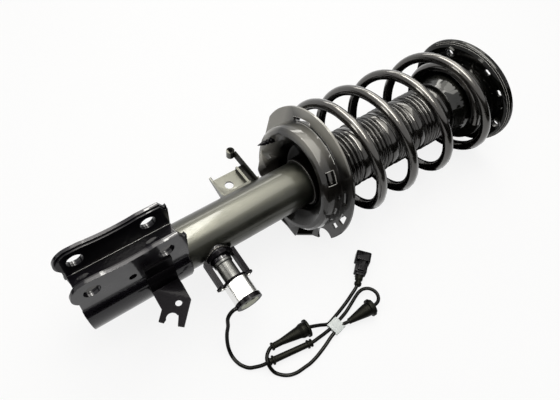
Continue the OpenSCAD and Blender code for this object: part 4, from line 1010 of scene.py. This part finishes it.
# How much of what is seen of the floor is plain white; the rest takes the shadow
PLAIN_WHITE = 0.84
both = tree.nodes.new("ShaderNodeMixShader")
share = worked(tree, "MULTIPLY", shows_background(tree), PLAIN_WHITE)
tree.links.new(share, both.inputs["Fac"])
tree.links.new(paper.outputs["BSDF"], both.inputs[1])
tree.links.new(glow.outputs["Emission"], both.inputs[2])
tree.links.new(both.outputs["Shader"], tree.nodes["Material Output"].inputs["Surface"])

FLOOR_HALF, FLOOR_GAP = 4, 0.0003
floor_bm = bmesh.new()
bmesh.ops.create_grid(floor_bm, x_segments=1, y_segments=1, size=FLOOR_HALF)
bmesh.ops.translate(floor_bm, vec=(0.25, 0, FLOOR_Z - FLOOR_GAP), verts=floor_bm.verts)
stage_piece("floor", floor_bm, floor_white)
print("floor at", FLOOR_Z, "m")

# %% World
SKY_LIGHT = 0.30
world = bpy.data.worlds.new("studio")
bpy.context.scene.world = world
world.use_nodes = True
tree = world.node_tree
sky = tree.nodes["Background"]
sky.inputs["Color"].default_value = (1, 1, 1, 1)
level = fade(tree, shows_background(tree), 0, 1, SKY_LIGHT, 1.0)
tree.links.new(level, sky.inputs["Strength"])
print("the sky lights with", SKY_LIGHT, "and is seen as 1")

# %% Lamps
LAMP_COLOUR = (1.0, 0.985, 0.93)
MIDDLE = (0.28, 0, -0.05)


def lamp(name, place, width, height, power):
    """A soft rectangular lamp that faces the middle of the strut."""
    data = bpy.data.lights.new(name, "AREA")
    data.shape = "RECTANGLE"
    data.size, data.size_y = width, height
    data.energy = power
    data.color = LAMP_COLOUR
    obj = bpy.data.objects.new(name, data)
    bpy.context.scene.collection.objects.link(obj)
    obj.matrix_world = facing(place, MIDDLE)


lamp("overhead", (0.40, 0.15, 1.0), 1.1, 1.4, 11)
lamp("far", (0.75, 0.95, 0.55), 0.9, 0.2, 1.5)
lamp("left", (-0.9, 0.0, 0.55), 0.25, 0.7, 1.5)
print("lamps:", len(bpy.data.lights))

# %% [markdown]
# ### Boards
#
# A black and shiny thing shows what stands round it, and in a white room it would only
# show white. So white and black boards stand beside it, as in a studio. They are not
# seen, cast no shadow and light nothing. They are only mirrored: the bright ones draw the
# highlights and the black ones the dark lines.

# %% Boards
def unseen(board):
    """Leaves a board to be mirrored, and to do nothing else."""
    board.visible_camera = False
    board.visible_diffuse = False
    board.visible_shadow = False
    board.visible_transmission = False
    print(board.name, "is only mirrored")


def bright_board(name, place, target, width, height, level):
    """A glowing sheet that only mirrors see."""
    glowing = bpy.data.materials.new(name)
    glowing.use_nodes = True
    tree = glowing.node_tree
    glow = tree.nodes.new("ShaderNodeEmission")
    glow.inputs["Color"].default_value = (*LAMP_COLOUR, 1)
    glow.inputs["Strength"].default_value = level
    tree.links.new(glow.outputs["Emission"], tree.nodes["Material Output"].inputs["Surface"])
    bm = bmesh.new()
    bmesh.ops.create_grid(bm, x_segments=1, y_segments=1, size=0.5)
    bmesh.ops.scale(bm, vec=(width, height, 1), verts=bm.verts)
    board = stage_piece(name, bm, glowing)
    board.matrix_world = facing(place, target)
    unseen(board)


flag_black = bpy.data.materials.new("flag_black")
flag_black.use_nodes = True
felt = flag_black.node_tree.nodes["Principled BSDF"]
felt.inputs["Base Color"].default_value = (0.002, 0.002, 0.002, 1)
felt.inputs["Specular IOR Level"].default_value = 0


def flag(name, low, high):
    """A thin black board between two corners that only mirrors see."""
    bm = bmesh.new()
    made = bmesh.ops.create_cube(bm, size=1)["verts"]
    low, high = Vector(low), Vector(high)
    bmesh.ops.scale(bm, vec=high - low, verts=made)
    bmesh.ops.translate(bm, vec=(low + high) / 2, verts=made)
    unseen(stage_piece(name, bm, flag_black))


bright_board("soft_board", (0.45, 0.25, 1.02), MIDDLE, 1.1, 1.5, 2.7)
bright_board("right_board", (1.15, 0.55, 0.90), (0.38, 0, 0), 0.7, 0.8, 5.7)
bright_board("strip_board", (0.30, 0.10, 0.95), MIDDLE, 0.14, 1.4, 30)
bright_board("far_board", (0.75, 0.95, 0.55), MIDDLE, 0.9, 0.2, 8)
bright_board("left_board", (-0.9, 0.0, 0.55), MIDDLE, 0.25, 0.7, 9)
# The black boards stand round the strut, at these ends of the room
LEFT, RIGHT_END, NEAR, BEYOND = -1.2, 1.8, -1.0, 1.5
flag("near_flag", (LEFT, NEAR - 0.01, FLOOR_Z), (RIGHT_END, NEAR, 0.40))
flag("near_floor_flag", (0.14, NEAR, FLOOR_Z), (RIGHT_END, -0.40, FLOOR_Z + 0.002))
# The black board under the strut is painted shade: mirrors see the floor dark where the strut shades it
flag("under_flag", (0.28, -0.07, FLOOR_Z), (0.62, 0.16, FLOOR_Z + 0.0015))
flag("left_flag", (LEFT - 0.01, NEAR, FLOOR_Z), (LEFT, BEYOND, 0.35))
flag("right_flag", (RIGHT_END, NEAR, FLOOR_Z), (RIGHT_END + 0.01, BEYOND, 0.35))
bpy.context.scene.view_settings.view_transform = "Standard"
